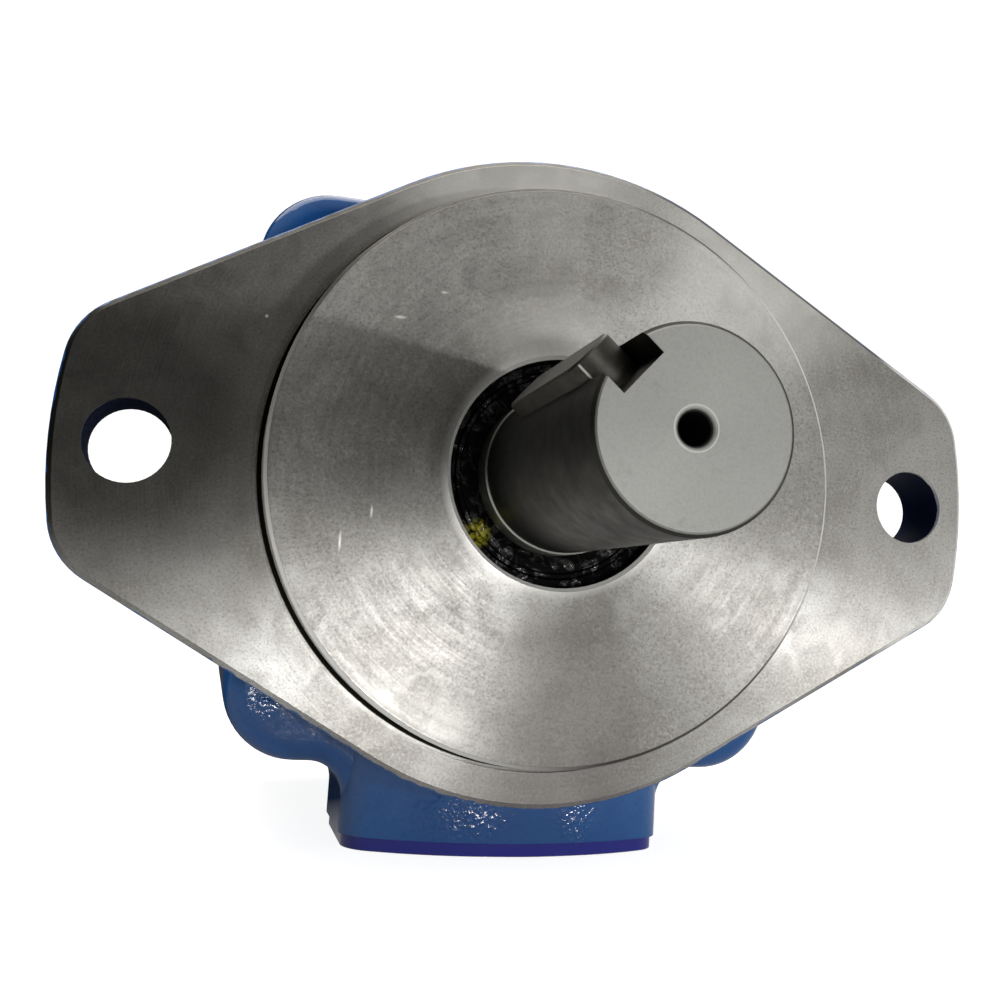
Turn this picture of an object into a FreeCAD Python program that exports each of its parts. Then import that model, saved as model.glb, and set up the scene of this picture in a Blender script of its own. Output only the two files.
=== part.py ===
import FreeCAD, Part
import Sketcher
import math
import os
import re

# Hydraulic vane pump with a two-bolt mounting flange and a keyed shaft.
# Millimetres. The origin is on the shaft's axis, in the plane of the mounting face.
# +Y runs into the pump, away from the shaft's end, +X along the two flange bolts, +Z up.

Vector = FreeCAD.Vector
Axis = FreeCAD.Vector(0, 1, 0)

# Driving dimensions, one line each: name, value, what it is
SIZES = [
    ("flange_thickness", 17.0, "mounting flange, front to back"),
    ("flange_middle_r", 73.0, "round middle of the flange"),
    ("end_margin", 15.0, "flange beyond each bolt's centre, to its turned ends"),
    ("flange_corner_r", 16.0, "corner between flank and end"),
    ("flange_chamfer", 1.2, "flange's front edge"),
    ("flank_angle", 30.0, "slope of the flange's flanks, degrees"),
    ("bolt_spacing", 181.0, "mounting bolts, centre to centre"),
    ("bolt_hole_r", 8.75, "mounting bolt holes"),
    ("pilot_r", 63.5, "locating pilot"),
    ("pilot_height", 9.5, "pilot, proud of the mounting face"),
    ("pilot_chamfer", 0.8, "edge of the pilot"),
    ("undercut_width", 1.6, "ring turned in the face round the pilot"),
    ("undercut_depth", 1.2, "the same ring, into the face"),
    ("body_half", 67.0, "half of the square body"),
    ("lobe_r", 17.0, "corner lobes of the body"),
    ("cast_r", 5.0, "cast edges"),
    ("boss_front", 25.0, "front of the square body"),
    ("neck_r", 61.0, "neck behind the flange"),
    ("joint_place", 75.0, "joint between the cap and the housing"),
    ("wall_end", 3.0, "stock left behind a blind hole's reach"),
    ("screw_place", 50.0, "housing screws, from the axis each way"),
    ("screw_r", 6.0, "housing screws, thread outside"),
    ("screw_play", 0.6, "clearance round the screws in the housing"),
    ("screw_reach", 22.0, "thread engaged in the cap"),
    ("seal_bore_r", 25.0, "bore of the shaft seal"),
    ("mouth_chamfer", 0.8, "mouth of the seal bore"),
    ("seal_front", 3.0, "seal's front, ahead of the mounting face"),
    ("seal_width", 9.0, "shaft seal, front to back"),
    ("seal_ledge_r", 24.0, "ledge behind the seal"),
    ("case_wall", 1.2, "seal's steel case"),
    ("case_flange", 4.4, "its front wall, in from the seal's bore"),
    ("seal_facing", 0.8, "rubber over the case's front wall"),
    ("seal_web_back", 2.6, "rubber web, from the seal's front"),
    ("bead_inset", 1.8, "ridge on the seal's front, in from the bore"),
    ("bead_width", 1.6, "the same ridge"),
    ("bead_height", 0.6, "the same ridge"),
    ("bead_slope", 0.4, "its flanks"),
    ("lip_play", 0.08, "seal lips, clear of the shaft"),
    ("lip_wall", 1.5, "outside of the lip's rubber, off the shaft"),
    ("lip_hollow", 0.9, "hollow between the two lips, off the shaft"),
    ("lip_shoulder", 0.8, "slopes from the lip's wall to its ends"),
    ("lip_place", 7.2, "main lip's edge, from the seal's front"),
    ("lip_slope", 1.6, "main lip's front slope, along the shaft"),
    ("lip_back", 1.4, "main lip's rear slope, along the shaft"),
    ("dust_lip_place", 0.5, "dust lip's edge, from the seal's front"),
    ("dust_lip_spread", 2.2, "dust lip's front, off the shaft"),
    ("dust_lip_back", 2.4, "dust lip's back, from the seal's front"),
    ("garter_r", 0.7, "spring round the main lip"),
    ("garter_place", 6.8, "the same spring, from the seal's front"),
    ("bearing_place", 10.0, "front of the shaft bearing"),
    ("bearing_width", 17.0, "shaft bearing"),
    ("bearing_outer_r", 36.0, "shaft bearing, outside"),
    ("bearing_bore_r", 17.5, "shaft bearing, bore"),
    ("pitch_r", 26.75, "circle of the ball centres"),
    ("ball_r", 5.55, "balls"),
    ("ball_count", 9, "balls in the bearing"),
    ("race_play", 0.15, "play of a ball in its groove"),
    ("shoulder_height", 4.6, "race shoulders, above the ring's bore or below its outside"),
    ("cage_half", 1.2, "half of the cage's wall"),
    ("cage_width", 14.4, "cage, front to back"),
    ("clip_thickness", 2.5, "bearing retaining ring"),
    ("clip_depth", 1.5, "its groove, into the bore"),
    ("shaft_clip_thickness", 1.75, "shaft retaining ring"),
    ("shaft_clip_depth", 0.9, "its groove, into the shaft"),
    ("hub_r", 37.0, "pressure plate's hub"),
    ("seat_length", 8.0, "hub's seat in the cap"),
    ("chamber_r", 54.0, "pressure chamber in the cap"),
    ("plate_place", 61.0, "ledge that the pressure plate stands on"),
    ("plate_r", 56.0, "pressure plate"),
    ("plate_thickness", 18.0, "pressure plate and suction plate"),
    ("ring_width", 42.0, "cam ring"),
    ("ring_r", 52.0, "cam ring and suction plate, outside"),
    ("cam_minor_r", 38.6, "cam ring's small radius"),
    ("cam_lift", 4.6, "vane stroke"),
    ("cam_angle", 45.0, "direction of the large radius, degrees"),
    ("rotor_r", 38.0, "rotor"),
    ("rotor_play", 0.05, "rotor's play against each plate"),
    ("vane_count", 10, "vanes"),
    ("vane_thickness", 3.0, "vanes"),
    ("vane_play", 0.05, "each side of a vane in its slot"),
    ("vane_base_r", 23.4, "foot of a vane, drawn in"),
    ("vane_tip_gap", 0.3, "vane tip to the small radius, drawn in"),
    ("slot_root_r", 2.1, "round root of a vane slot"),
    ("pin_r", 2.0, "vane pins"),
    ("pin_base_r", 18.5, "foot of a vane pin"),
    ("spline_r", 16.0, "shaft's spline, outside"),
    ("spline_depth", 1.8, "spline grooves"),
    ("spline_width", 3.4, "spline grooves"),
    ("spline_count", 14, "spline teeth"),
    ("spline_play", 0.1, "round each spline tooth"),
    ("rear_hub_r", 36.0, "suction plate's hub"),
    ("rear_hub_length", 14.0, "the same hub"),
    ("journal_r", 14.0, "shaft's rear journal"),
    ("journal_play", 0.05, "journal in its bush"),
    ("bush_wall", 3.5, "rear bush"),
    ("bush_length", 26.0, "rear bush"),
    ("seat_gap", 0.06, "pieces seated in one another"),
    ("bore_gap", 0.08, "plates in their bores"),
    ("cavity_r", 58.0, "suction chamber in the housing"),
    ("lobe_length", 68.0, "housing's corner lobes"),
    ("housing_length", 93.0, "housing, front to back"),
    ("tail_r", 60.0, "round rear of the housing"),
    ("tail_corner_r", 14.0, "its rear edge"),
    ("oring_groove_r", 59.2, "joint's groove, inside"),
    ("oring_groove_width", 3.4, "the same groove"),
    ("oring_groove_depth", 2.4, "the same groove"),
    ("pressure_place", 44.0, "pressure port, from the mounting face"),
    ("pressure_reach", 86.0, "pressure port's face, from the axis"),
    ("pressure_r", 16.0, "pressure port"),
    ("pressure_across", 58.7, "its bolts, across the shaft"),
    ("pressure_along", 30.2, "its bolts, along the shaft"),
    ("pressure_tap_r", 4.25, "its bolts' tapping holes"),
    ("pressure_half_width", 38.6, "its pad, half across"),
    ("pressure_half_length", 29.5, "its pad, half along"),
    ("suction_place", 53.0, "suction port, from the joint"),
    ("suction_reach", 84.0, "suction port's face, from the axis"),
    ("suction_r", 25.5, "suction port"),
    ("suction_across", 77.8, "its bolts, across the shaft"),
    ("suction_along", 42.9, "its bolts, along the shaft"),
    ("suction_tap_r", 5.1, "its bolts' tapping holes"),
    ("suction_half_width", 50.0, "its pad, half across"),
    ("suction_half_length", 37.5, "its pad, half along"),
    ("pad_bulge", 10.0, "rise of a pad's rounded ends"),
    ("pad_corner_r", 10.0, "corners of a port pad"),
    ("flare_r", 8.0, "hollow corners beside the pressure pad"),
    ("face_step", 3.0, "machined port face, proud of its pad"),
    ("face_inset", 0.8, "the same face, inside its pad's edge"),
    ("shaft_r", 17.465, "keyed shaft"),
    ("shaft_reach", 85.3, "shaft's end, from the mounting face"),
    ("shaft_chamfer", 0.9, "shaft's end"),
    ("seal_journal_r", 17.8, "shaft under the seal"),
    ("seal_journal_front", 10.3, "its step, ahead of the mounting face"),
    ("collar_r", 21.0, "shaft's collar ahead of the bearing"),
    ("collar_length", 3.0, "the same collar"),
    ("clip_land", 1.2, "shaft behind its retaining ring's groove"),
    ("waist_r", 17.0, "shaft through the pressure plate"),
    ("centre_hole_r", 2.8, "centre hole in the shaft's end"),
    ("centre_mouth_r", 3.7, "its countersink"),
    ("centre_depth", 14.0, "the same hole"),
    ("key_width", 9.5, "key"),
    ("key_floor", 12.2, "keyway's floor, from the axis"),
    ("key_top", 20.1, "key's top, from the axis"),
    ("key_inset", 8.6, "key's round front, inside the shaft's end"),
    ("key_length", 48.5, "key"),
    ("key_angle", 49.2, "key's lean from upright, degrees"),
    ("key_chamfer", 0.4, "key's edges"),
    ("dowel_r", 3.0, "cartridge dowels"),
    ("cartridge_screw_r", 3.0, "cartridge screws"),
    ("cartridge_pitch_r", 45.6, "circle of the dowels and screws"),
    ("cartridge_spread_angle", 16.0, "dowels and screws, off the small radius, degrees"),
    ("cartridge_reach", 10.0, "dowel and screw holes, into the pressure plate"),
    ("dowel_short", 0.5, "dowels, short of their holes' ends"),
    ("dowel_chamfer", 0.5, "dowel ends"),
    ("screw_short", 1.0, "cartridge screws, short of their holes' ends"),
    ("head_r", 5.0, "cartridge screw heads"),
    ("head_height", 6.0, "cartridge screw heads"),
    ("window_half_angle", 20.0, "port windows, half their spread, degrees"),
    ("window_depth", 9.0, "suction windows, into a plate"),
    ("window_inner_r", 36.5, "suction windows, inside"),
    ("kidney_inner_r", 38.3, "pressure windows, inside"),
    ("kidney_outer_r", 43.0, "pressure windows, outside"),
]

doc = FreeCAD.newDocument("vane_pump")
sheet = doc.addObject("Spreadsheet::Sheet", "Sizes")
for row, (name, value, note) in enumerate(SIZES, start=1):
    sheet.set("A%d" % row, note)
    sheet.set("B%d" % row, str(value))
    sheet.setAlias("B%d" % row, name)
doc.recompute()


def size(expression):
    """Number that an expression in the sheet's names gives now."""
    return float(sheet.evalExpression(expression))


def bound(expression):
    """The same expression, as an object outside the sheet has to write it."""
    return re.sub(r"\b[a-z]+(?:_[a-z]+)+\b", lambda word: "Sizes." + word.group(0), expression)


# Bodies, sketches and features

def body(label):
    item = doc.addObject("PartDesign::Body", label)
    item.Label = label
    item.AllowCompound = True
    return item


def datum(owner, role):
    return [item for item in owner.Origin.OriginFeatures if item.Role == role][0]


def sketch(owner, name, role, offset, aside="0"):
    """Sketch on one of the body's own planes, moved along its normal and sideways."""
    item = owner.newObject("Sketcher::SketchObject", name)
    item.AttachmentSupport = [(datum(owner, role), "")]
    item.MapMode = "FlatFace"
    item.AttachmentOffset = FreeCAD.Placement(
        Vector(size(aside), 0, size(offset)), FreeCAD.Rotation())
    item.setExpression("AttachmentOffset.Base.x", bound(aside))
    item.setExpression("AttachmentOffset.Base.z", bound(offset))
    return item


def across(owner, name, place):
    """Sketch across the shaft's axis: its x is X and its y is Z."""
    return sketch(owner, name, "XZ_Plane", "-(%s)" % place)


def level(owner, name, height, aside="0"):
    """Level sketch: its x is X and its y is Y, along the shaft."""
    return sketch(owner, name, "XY_Plane", height, aside)


def tie(item, way, geometry, point, expression):
    """Bind one coordinate of a point of the sketch to the sheet."""
    value = size(expression)
    if abs(value) < 1e-9:
        axis = -2 if way == "X" else -1
        item.addConstraint(Sketcher.Constraint("PointOnObject", geometry, point, axis))
        return
    ends = (-1, 1, geometry, point) if value > 0 else (geometry, point, -1, 1)
    sign = "%s" if value > 0 else "-(%s)"
    index = item.addConstraint(Sketcher.Constraint("Distance" + way, *ends, abs(value)))
    item.setExpression("Constraints[%d]" % index, bound(sign % expression))


def measure(item, kind, geometry, expression, unit=1.0):
    """Bind a radius or an angle of the sketch to the sheet."""
    index = item.addConstraint(Sketcher.Constraint(kind, geometry, size(expression) * unit))
    suffix = "" if kind == "Radius" else " * 1 deg"
    item.setExpression("Constraints[%d]" % index, "(" + bound(expression) + ")" + suffix)


def outline(item, corners):
    """Closed straight outline, each corner bound to the sheet."""
    first = item.GeometryCount
    places = [Vector(size(x), size(y), 0) for x, y in corners]
    count = len(places)
    for k in range(count):
        item.addGeometry(Part.LineSegment(places[k], places[(k + 1) % count]), False)
    for k, (x, y) in enumerate(corners):
        after = first + (k - 1) % count
        item.addConstraint(Sketcher.Constraint("Coincident", after, 2, first + k, 1))
        tie(item, "X", first + k, 1, x)
        tie(item, "Y", first + k, 1, y)
    return item


def rectangle(item, left, low, right, high):
    return outline(item, [(left, low), (right, low), (right, high), (left, high)])


def circle(item, x, y, radius):
    index = item.addGeometry(
        Part.Circle(Vector(size(x), size(y), 0), Vector(0, 0, 1), size(radius)), False)
    tie(item, "X", index, 3, x)
    tie(item, "Y", index, 3, y)
    measure(item, "Radius", index, radius)
    return item


def arc(item, centre, radius, start, end):
    """Arc from one angle to another, in degrees. Returns its number in the sketch."""
    whole = Part.Circle(Vector(size(centre[0]), size(centre[1]), 0), Vector(0, 0, 1), size(radius))
    index = item.addGeometry(
        Part.ArcOfCircle(whole, math.radians(start), math.radians(end)), False)
    tie(item, "X", index, 3, centre[0])
    tie(item, "Y", index, 3, centre[1])
    measure(item, "Radius", index, radius)
    return index


def loose_arc(item, centre, radius, start, end):
    """Arc whose centre its neighbours decide."""
    whole = Part.Circle(Vector(*centre, 0), Vector(0, 0, 1), size(radius))
    index = item.addGeometry(
        Part.ArcOfCircle(whole, math.radians(start), math.radians(end)), False)
    measure(item, "Radius", index, radius)
    return index


def line(item, start, end):
    return item.addGeometry(Part.LineSegment(Vector(*start, 0), Vector(*end, 0)), False)


def join(item, first, first_point, second, second_point, kind="Coincident"):
    item.addConstraint(Sketcher.Constraint(kind, first, first_point, second, second_point))


def sector(item, inner, outer, middle, half):
    """Part of a ring between two radii, spread each side of a middle angle in degrees."""
    start = size("%s - %s" % (middle, half))
    end = size("%s + %s" % (middle, half))
    large = arc(item, ("0", "0"), outer, start, end)
    small = arc(item, ("0", "0"), inner, start, end)
    for point, angle, expression in ((1, start, "%s - %s"), (2, end, "%s + %s")):
        turn = Vector(math.cos(math.radians(angle)), math.sin(math.radians(angle)), 0)
        near = turn * size(inner)
        far = turn * size(outer)
        side = line(item, (near.x, near.y), (far.x, far.y))
        join(item, side, 1, small, point)
        join(item, side, 2, large, point)
        item.addConstraint(Sketcher.Constraint("PointOnObject", -1, 1, side))
        measure(item, "Angle", side, expression % (middle, half), math.pi / 180)
    return item


def finish(owner, feature):
    owner.Tip = feature
    doc.recompute()
    if "Invalid" in feature.State or feature.Shape.isNull():
        raise RuntimeError("%s failed" % feature.Name)
    return feature


def pad(owner, profile, length, back=False):
    """Pad along the sketch's normal, or against it."""
    item = owner.newObject("PartDesign::Pad", profile.Name + "_pad")
    item.Profile = profile
    item.setExpression("Length", bound(length))
    item.Reversed = back
    return finish(owner, item)


def pocket(owner, profile, length, back=False):
    """Pocket against the sketch's normal, or along it when back is set. It has to cut."""
    before = owner.Shape.Volume
    item = owner.newObject("PartDesign::Pocket", profile.Name + "_pocket")
    item.Profile = profile
    item.setExpression("Length", bound(length))
    item.Reversed = back
    finish(owner, item)
    if owner.Shape.Volume > before - 1e-3:
        raise RuntimeError("%s cuts nothing" % item.Name)
    return item


def turned(owner, name, corners):
    """Solid turned about the sketch's upright axis, from radius and place of each corner."""
    profile = outline(level(owner, name, "0"), corners)
    item = owner.newObject("PartDesign::Revolution", name + "_turned")
    item.Profile = profile
    item.ReferenceAxis = (profile, ["V_Axis"])
    item.Angle = 360
    return finish(owner, item)


def bored(owner, name, profile):
    """Cut turned about the same axis. It has to cut."""
    before = owner.Shape.Volume
    item = owner.newObject("PartDesign::Groove", name + "_cut")
    item.Profile = profile
    item.ReferenceAxis = (profile, ["V_Axis"])
    item.Angle = 360
    finish(owner, item)
    if owner.Shape.Volume > before - 1e-3:
        raise RuntimeError("%s cuts nothing" % item.Name)
    return item


def bore(owner, name, corners):
    return bored(owner, name, outline(level(owner, name, "0"), corners))


def ring_cut(owner, name, inner, outer, front, back):
    return bore(owner, name, [(inner, front), (outer, front), (outer, back), (inner, back)])


def round_pattern(owner, features, count):
    """Copies of features round the shaft's axis."""
    item = owner.newObject("PartDesign::PolarPattern", features[-1].Name + "_pattern")
    item.Originals = features
    item.Axis = (datum(owner, "Y_Axis"), [""])
    item.Angle = 360
    item.setExpression("Occurrences", bound(count))
    return finish(owner, item)


def edges(owner, wanted):
    """Names of the body's edges for which wanted(edge) is true."""
    return ["Edge%d" % (k + 1) for k, edge in enumerate(owner.Shape.Edges) if wanted(edge)]


def rounded(owner, name, wanted, radius, kind="Fillet"):
    names = edges(owner, wanted)
    if not names:
        raise RuntimeError("%s finds no edge" % name)
    base = owner.Tip
    item = owner.newObject("PartDesign::" + kind, name)
    item.Base = (base, names)
    item.setExpression("Radius" if kind == "Fillet" else "Size", bound(radius))
    return finish(owner, item)


def runs_along(edge, direction):
    """True for a straight edge along the direction."""
    if edge.Curve.TypeId != "Part::GeomLine":
        return False
    return abs(abs(edge.Curve.Direction.dot(direction)) - 1) < 1e-6


def at_place(edge, place):
    """True for an edge that lies in the plane across the shaft at this place."""
    return all(abs(vertex.Point.y - place) < 1e-4 for vertex in edge.Vertexes)


def from_axis(edge):
    middle = edge.valueAt((edge.FirstParameter + edge.LastParameter) / 2)
    return math.hypot(middle.x, middle.z)


def moved(owner, place):
    """Put a finished piece at its place along the shaft."""
    owner.setExpression(".Placement.Base.y", bound(place))
    doc.recompute()
    return owner


# Shapes that both castings share

def square_block(owner, name, front, length):
    """Square body with rounded corner lobes."""
    profile = rectangle(across(owner, name, front), "-body_half", "-body_half", "body_half", "body_half")
    pad(owner, profile, length, back=True)
    corner = size("body_half * 1.2")
    rounded(owner, name + "_lobes", lambda edge: runs_along(edge, Axis) and from_axis(edge) > corner,
            "lobe_r")


def flares(owner, name, front, half_width, radius, length):
    """Hollow cast corners where the sides of a pad below meet the square body."""
    item = across(owner, name, front)
    half = size(half_width)
    small = size(radius)
    bottom = -size("body_half")
    low = "-(body_half + %s)" % radius
    wide = "(%s + %s)" % (half_width, radius)
    right = arc(item, (wide, low), radius, 90, 180)
    base = line(item, (half, bottom - small), (-half, bottom - small))
    left = arc(item, ("-" + wide, low), radius, 0, 90)
    near = line(item, (-half - small, bottom), (-half - small, bottom + 1))
    top = line(item, (-half - small, bottom + 1), (half + small, bottom + 1))
    far = line(item, (half + small, bottom + 1), (half + small, bottom))
    corners = [(right, 2, base, 1), (base, 2, left, 1), (left, 2, near, 1), (near, 2, top, 1),
               (top, 2, far, 1), (far, 2, right, 1)]
    for first, first_point, second, second_point in corners:
        join(item, first, first_point, second, second_point)
    item.addConstraint(Sketcher.Constraint("Horizontal", top))
    tie(item, "X", top, 1, "-" + wide)
    tie(item, "X", top, 2, wide)
    tie(item, "Y", top, 1, "1 - body_half")
    tie(item, "Y", base, 1, low)
    tie(item, "Y", base, 2, low)
    tie(item, "X", far, 2, wide)
    tie(item, "X", near, 1, "-" + wide)
    pad(owner, item, length, back=True)


def soft_edge(owner, name, place):
    """Cast rounding round the end of the square body."""
    rim = size("body_half - 1")
    rounded(owner, name, lambda edge: at_place(edge, size(place)) and from_axis(edge) > rim, "cast_r")


def pad_outline(item, place, half_width, half_length, corner):
    """Port pad seen along its port: straight sides, ends that bulge, round corners."""
    bulge = "(%s * %s + pad_bulge * pad_bulge) / (2 * pad_bulge)" % (half_width, half_width)
    radius = size(bulge)
    half = size(half_width)
    small = size(corner)
    near = ("0", "%s - %s + %s" % (place, half_length, bulge))
    far = ("0", "%s + %s - %s" % (place, half_length, bulge))
    drop = math.sqrt((radius - small) ** 2 - (half - small) ** 2)
    low = size(near[1]) - drop
    high = size(far[1]) + drop
    turn = -math.degrees(math.atan2(drop, half - small))
    steps = [
        arc(item, near, bulge, 180 - turn, 360 + turn),
        loose_arc(item, (half - small, low), corner, 360 + turn, 360),
        line(item, (half, low), (half, high)),
        loose_arc(item, (half - small, high), corner, 0, -turn),
        arc(item, far, bulge, -turn, 180 + turn),
        loose_arc(item, (small - half, high), corner, 180 + turn, 180),
        line(item, (-half, high), (-half, low)),
        loose_arc(item, (small - half, low), corner, 180, 180 - turn),
    ]
    for first, second in zip(steps, steps[1:] + steps[:1]):
        join(item, first, 2, second, 1, kind="Tangent")
    tie(item, "X", steps[2], 1, half_width)
    tie(item, "X", steps[6], 1, "-(%s)" % half_width)
    return item


def port(owner, name, side, place, reach, half_width, half_length, root):
    """Port pad with its machined face. side is 1 for the top and -1 for the bottom."""
    down = side > 0
    sign = "" if side > 0 else "-"
    foot = pad_outline(level(owner, name + "_pad", "%s(%s - face_step)" % (sign, reach)),
                       place, half_width, half_length, "pad_corner_r")
    pad(owner, foot, "%s - face_step - (%s)" % (reach, root), back=down)
    face = pad_outline(level(owner, name + "_face", "%s(%s)" % (sign, reach)), place,
                       "(%s - face_inset)" % half_width, "(%s - face_inset)" % half_length,
                       "pad_corner_r - face_inset")
    pad(owner, face, "face_step", back=down)


def port_holes(owner, name, side, place, reach, radius, depth, bolts, tap_r, tap_depth):
    """Port bore and its four tapping holes, all from the port's face."""
    sign = "" if side > 0 else "-"
    height = "%s(%s)" % (sign, reach)
    bolt_across, bolt_along = bolts
    pocket(owner, circle(level(owner, name + "_bore", height), "0", place, radius), depth, back=side < 0)
    taps = level(owner, name + "_taps", height)
    for x in ("%s / 2", "-%s / 2"):
        for y in ("%s + %s / 2", "%s - %s / 2"):
            circle(taps, x % bolt_across, y % (place, bolt_along), tap_r)
    pocket(owner, taps, tap_depth, back=side < 0)


# Mounting cap: flange, pilot, seal bore, bearing seat, pressure chamber and port

FLANGE_END_R = "bolt_spacing / 2 + end_margin"


def flange_outline(item):
    """Round middle, sloping flanks tangent to it, and turned ends."""
    slope = size("flank_angle")
    middle_r = size("flange_middle_r")
    end_r = size(FLANGE_END_R)
    reach = math.sqrt(end_r ** 2 - middle_r ** 2)
    tip = 90 - slope - math.degrees(math.atan2(reach, middle_r))
    top = arc(item, ("0", "0"), "flange_middle_r", 90 - slope, 90 + slope)
    bottom = arc(item, ("0", "0"), "flange_middle_r", 270 - slope, 270 + slope)
    right = arc(item, ("0", "0"), FLANGE_END_R, -tip, tip)
    left = arc(item, ("0", "0"), FLANGE_END_R, 180 - tip, 180 + tip)

    def spot(radius, angle):
        turn = math.radians(angle)
        return (radius * math.cos(turn), radius * math.sin(turn))

    flanks = (
        (top, 1, 90 - slope, right, 2, tip, "-flank_angle"),
        (top, 2, 90 + slope, left, 1, 180 - tip, "180 + flank_angle"),
        (bottom, 1, 270 - slope, left, 2, 180 + tip, "180 - flank_angle"),
        (bottom, 2, 270 + slope, right, 1, -tip, "flank_angle"),
    )
    for middle, middle_end, middle_at, tip_arc, tip_end, tip_at, angle in flanks:
        flank = line(item, spot(middle_r, middle_at), spot(end_r, tip_at))
        join(item, middle, middle_end, flank, 1, kind="Tangent")
        join(item, flank, 2, tip_arc, tip_end)
        measure(item, "Angle", flank, angle, math.pi / 180)
    return item


cap = body("mounting_cap")
pad(cap, flange_outline(across(cap, "flange", "0")), "flange_thickness", back=True)
end_rim = size(FLANGE_END_R) - 0.5
rounded(cap, "flange_corners", lambda edge: runs_along(edge, Axis) and from_axis(edge) > end_rim,
        "flange_corner_r")
rounded(cap, "flange_edge", lambda edge: at_place(edge, 0), "flange_chamfer", "Chamfer")
turned(cap, "pilot_and_neck", [
    ("0", "-pilot_height"),
    ("pilot_r - pilot_chamfer", "-pilot_height"),
    ("pilot_r", "pilot_chamfer - pilot_height"),
    ("pilot_r", "flange_thickness / 2"),
    ("neck_r", "flange_thickness / 2"),
    ("neck_r", "boss_front + cast_r"),
    ("0", "boss_front + cast_r"),
])
square_block(cap, "cap_block", "boss_front", "joint_place - boss_front")
flares(cap, "pad_flares", "boss_front", "pressure_half_width", "flare_r",
       "pressure_place + pressure_half_length - pad_bulge - pad_corner_r * 0.6 - boss_front")
soft_edge(cap, "cap_block_edge", "boss_front")
port(cap, "pressure", -1, "pressure_place", "pressure_reach", "pressure_half_width",
     "pressure_half_length", "neck_r * 0.7")
bore(cap, "cap_bore", [
    ("0", "-pilot_height - 1"),
    ("seal_bore_r + mouth_chamfer + 1", "-pilot_height - 1"),
    ("seal_bore_r", "mouth_chamfer - pilot_height"),
    ("seal_bore_r", "seal_width - seal_front"),
    ("seal_ledge_r", "seal_width - seal_front"),
    ("seal_ledge_r", "bearing_place"),
    ("bearing_outer_r", "bearing_place"),
    ("bearing_outer_r", "bearing_place + bearing_width + wall_end"),
    ("hub_r + bore_gap", "bearing_place + bearing_width + wall_end"),
    ("hub_r + bore_gap", "bearing_place + bearing_width + wall_end + seat_length"),
    ("chamber_r", "bearing_place + bearing_width + wall_end + seat_length"),
    ("chamber_r", "plate_place"),
    ("plate_r + bore_gap", "plate_place"),
    ("plate_r + bore_gap", "joint_place + 1"),
    ("0", "joint_place + 1"),
])
ring_cut(cap, "clip_groove", "bearing_outer_r - 1", "bearing_outer_r + clip_depth",
         "bearing_place + bearing_width", "bearing_place + bearing_width + clip_thickness + bore_gap")
ring_cut(cap, "pilot_undercut", "pilot_r", "pilot_r + undercut_width", "-1", "undercut_depth")
bolt_holes = across(cap, "bolt_holes", "0")
circle(bolt_holes, "bolt_spacing / 2", "0", "bolt_hole_r")
circle(bolt_holes, "-bolt_spacing / 2", "0", "bolt_hole_r")
pocket(cap, bolt_holes, "flange_thickness + 1")
port_holes(cap, "pressure", -1, "pressure_place", "pressure_reach", "pressure_r",
           "pressure_reach - chamber_r + 7", ("pressure_across", "pressure_along"),
           "pressure_tap_r", "20")
cap_taps = across(cap, "cap_taps", "joint_place")
for x in ("screw_place", "-screw_place"):
    for y in ("screw_place", "-screw_place"):
        circle(cap_taps, x, y, "screw_r + bore_gap")
pocket(cap, cap_taps, "screw_reach + wall_end", back=True)

# Rear housing: suction chamber and port. Its own zero is the joint with the cap.

housing = body("rear_housing")
square_block(housing, "housing_block", "0", "lobe_length")
soft_edge(housing, "housing_block_edge", "lobe_length")
turned(housing, "tail", [
    ("0", "lobe_length / 2"),
    ("tail_r", "lobe_length / 2"),
    ("tail_r", "housing_length"),
    ("0", "housing_length"),
])
rounded(housing, "tail_edge",
        lambda edge: at_place(edge, size("housing_length")), "tail_corner_r")
port(housing, "suction", 1, "suction_place", "suction_reach", "suction_half_width",
     "suction_half_length", "body_half - 3")
neck = level(housing, "suction_neck", "body_half")
rectangle(neck, "-suction_half_width * 0.75", "suction_place - suction_half_length * 0.8",
          "suction_half_width * 0.75", "suction_place + suction_half_length * 0.8")
pad(housing, neck, "body_half / 2", back=True)
bore(housing, "housing_bore", [
    ("0", "-1"),
    ("cavity_r", "-1"),
    ("cavity_r", "plate_place + plate_thickness * 2 + ring_width - joint_place"),
    ("rear_hub_r + bore_gap", "plate_place + plate_thickness * 2 + ring_width - joint_place"),
    ("rear_hub_r + bore_gap",
     "plate_place + plate_thickness * 2 + ring_width - joint_place + rear_hub_length + 1"),
    ("0", "plate_place + plate_thickness * 2 + ring_width - joint_place + rear_hub_length + 1"),
])
ring_cut(housing, "joint_groove", "oring_groove_r", "oring_groove_r + oring_groove_width",
         "-1", "oring_groove_depth")
port_holes(housing, "suction", 1, "suction_place", "suction_reach", "suction_r",
           "suction_reach - ring_r - 0.5", ("suction_across", "suction_along"),
           "suction_tap_r", "18")
screw_holes = across(housing, "screw_holes", "-1")
for x in ("screw_place", "-screw_place"):
    for y in ("screw_place", "-screw_place"):
        circle(screw_holes, x, y, "screw_r + screw_play")
pocket(housing, screw_holes, "lobe_length + 2")
moved(housing, "joint_place")

# Joint screws and seal

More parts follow.
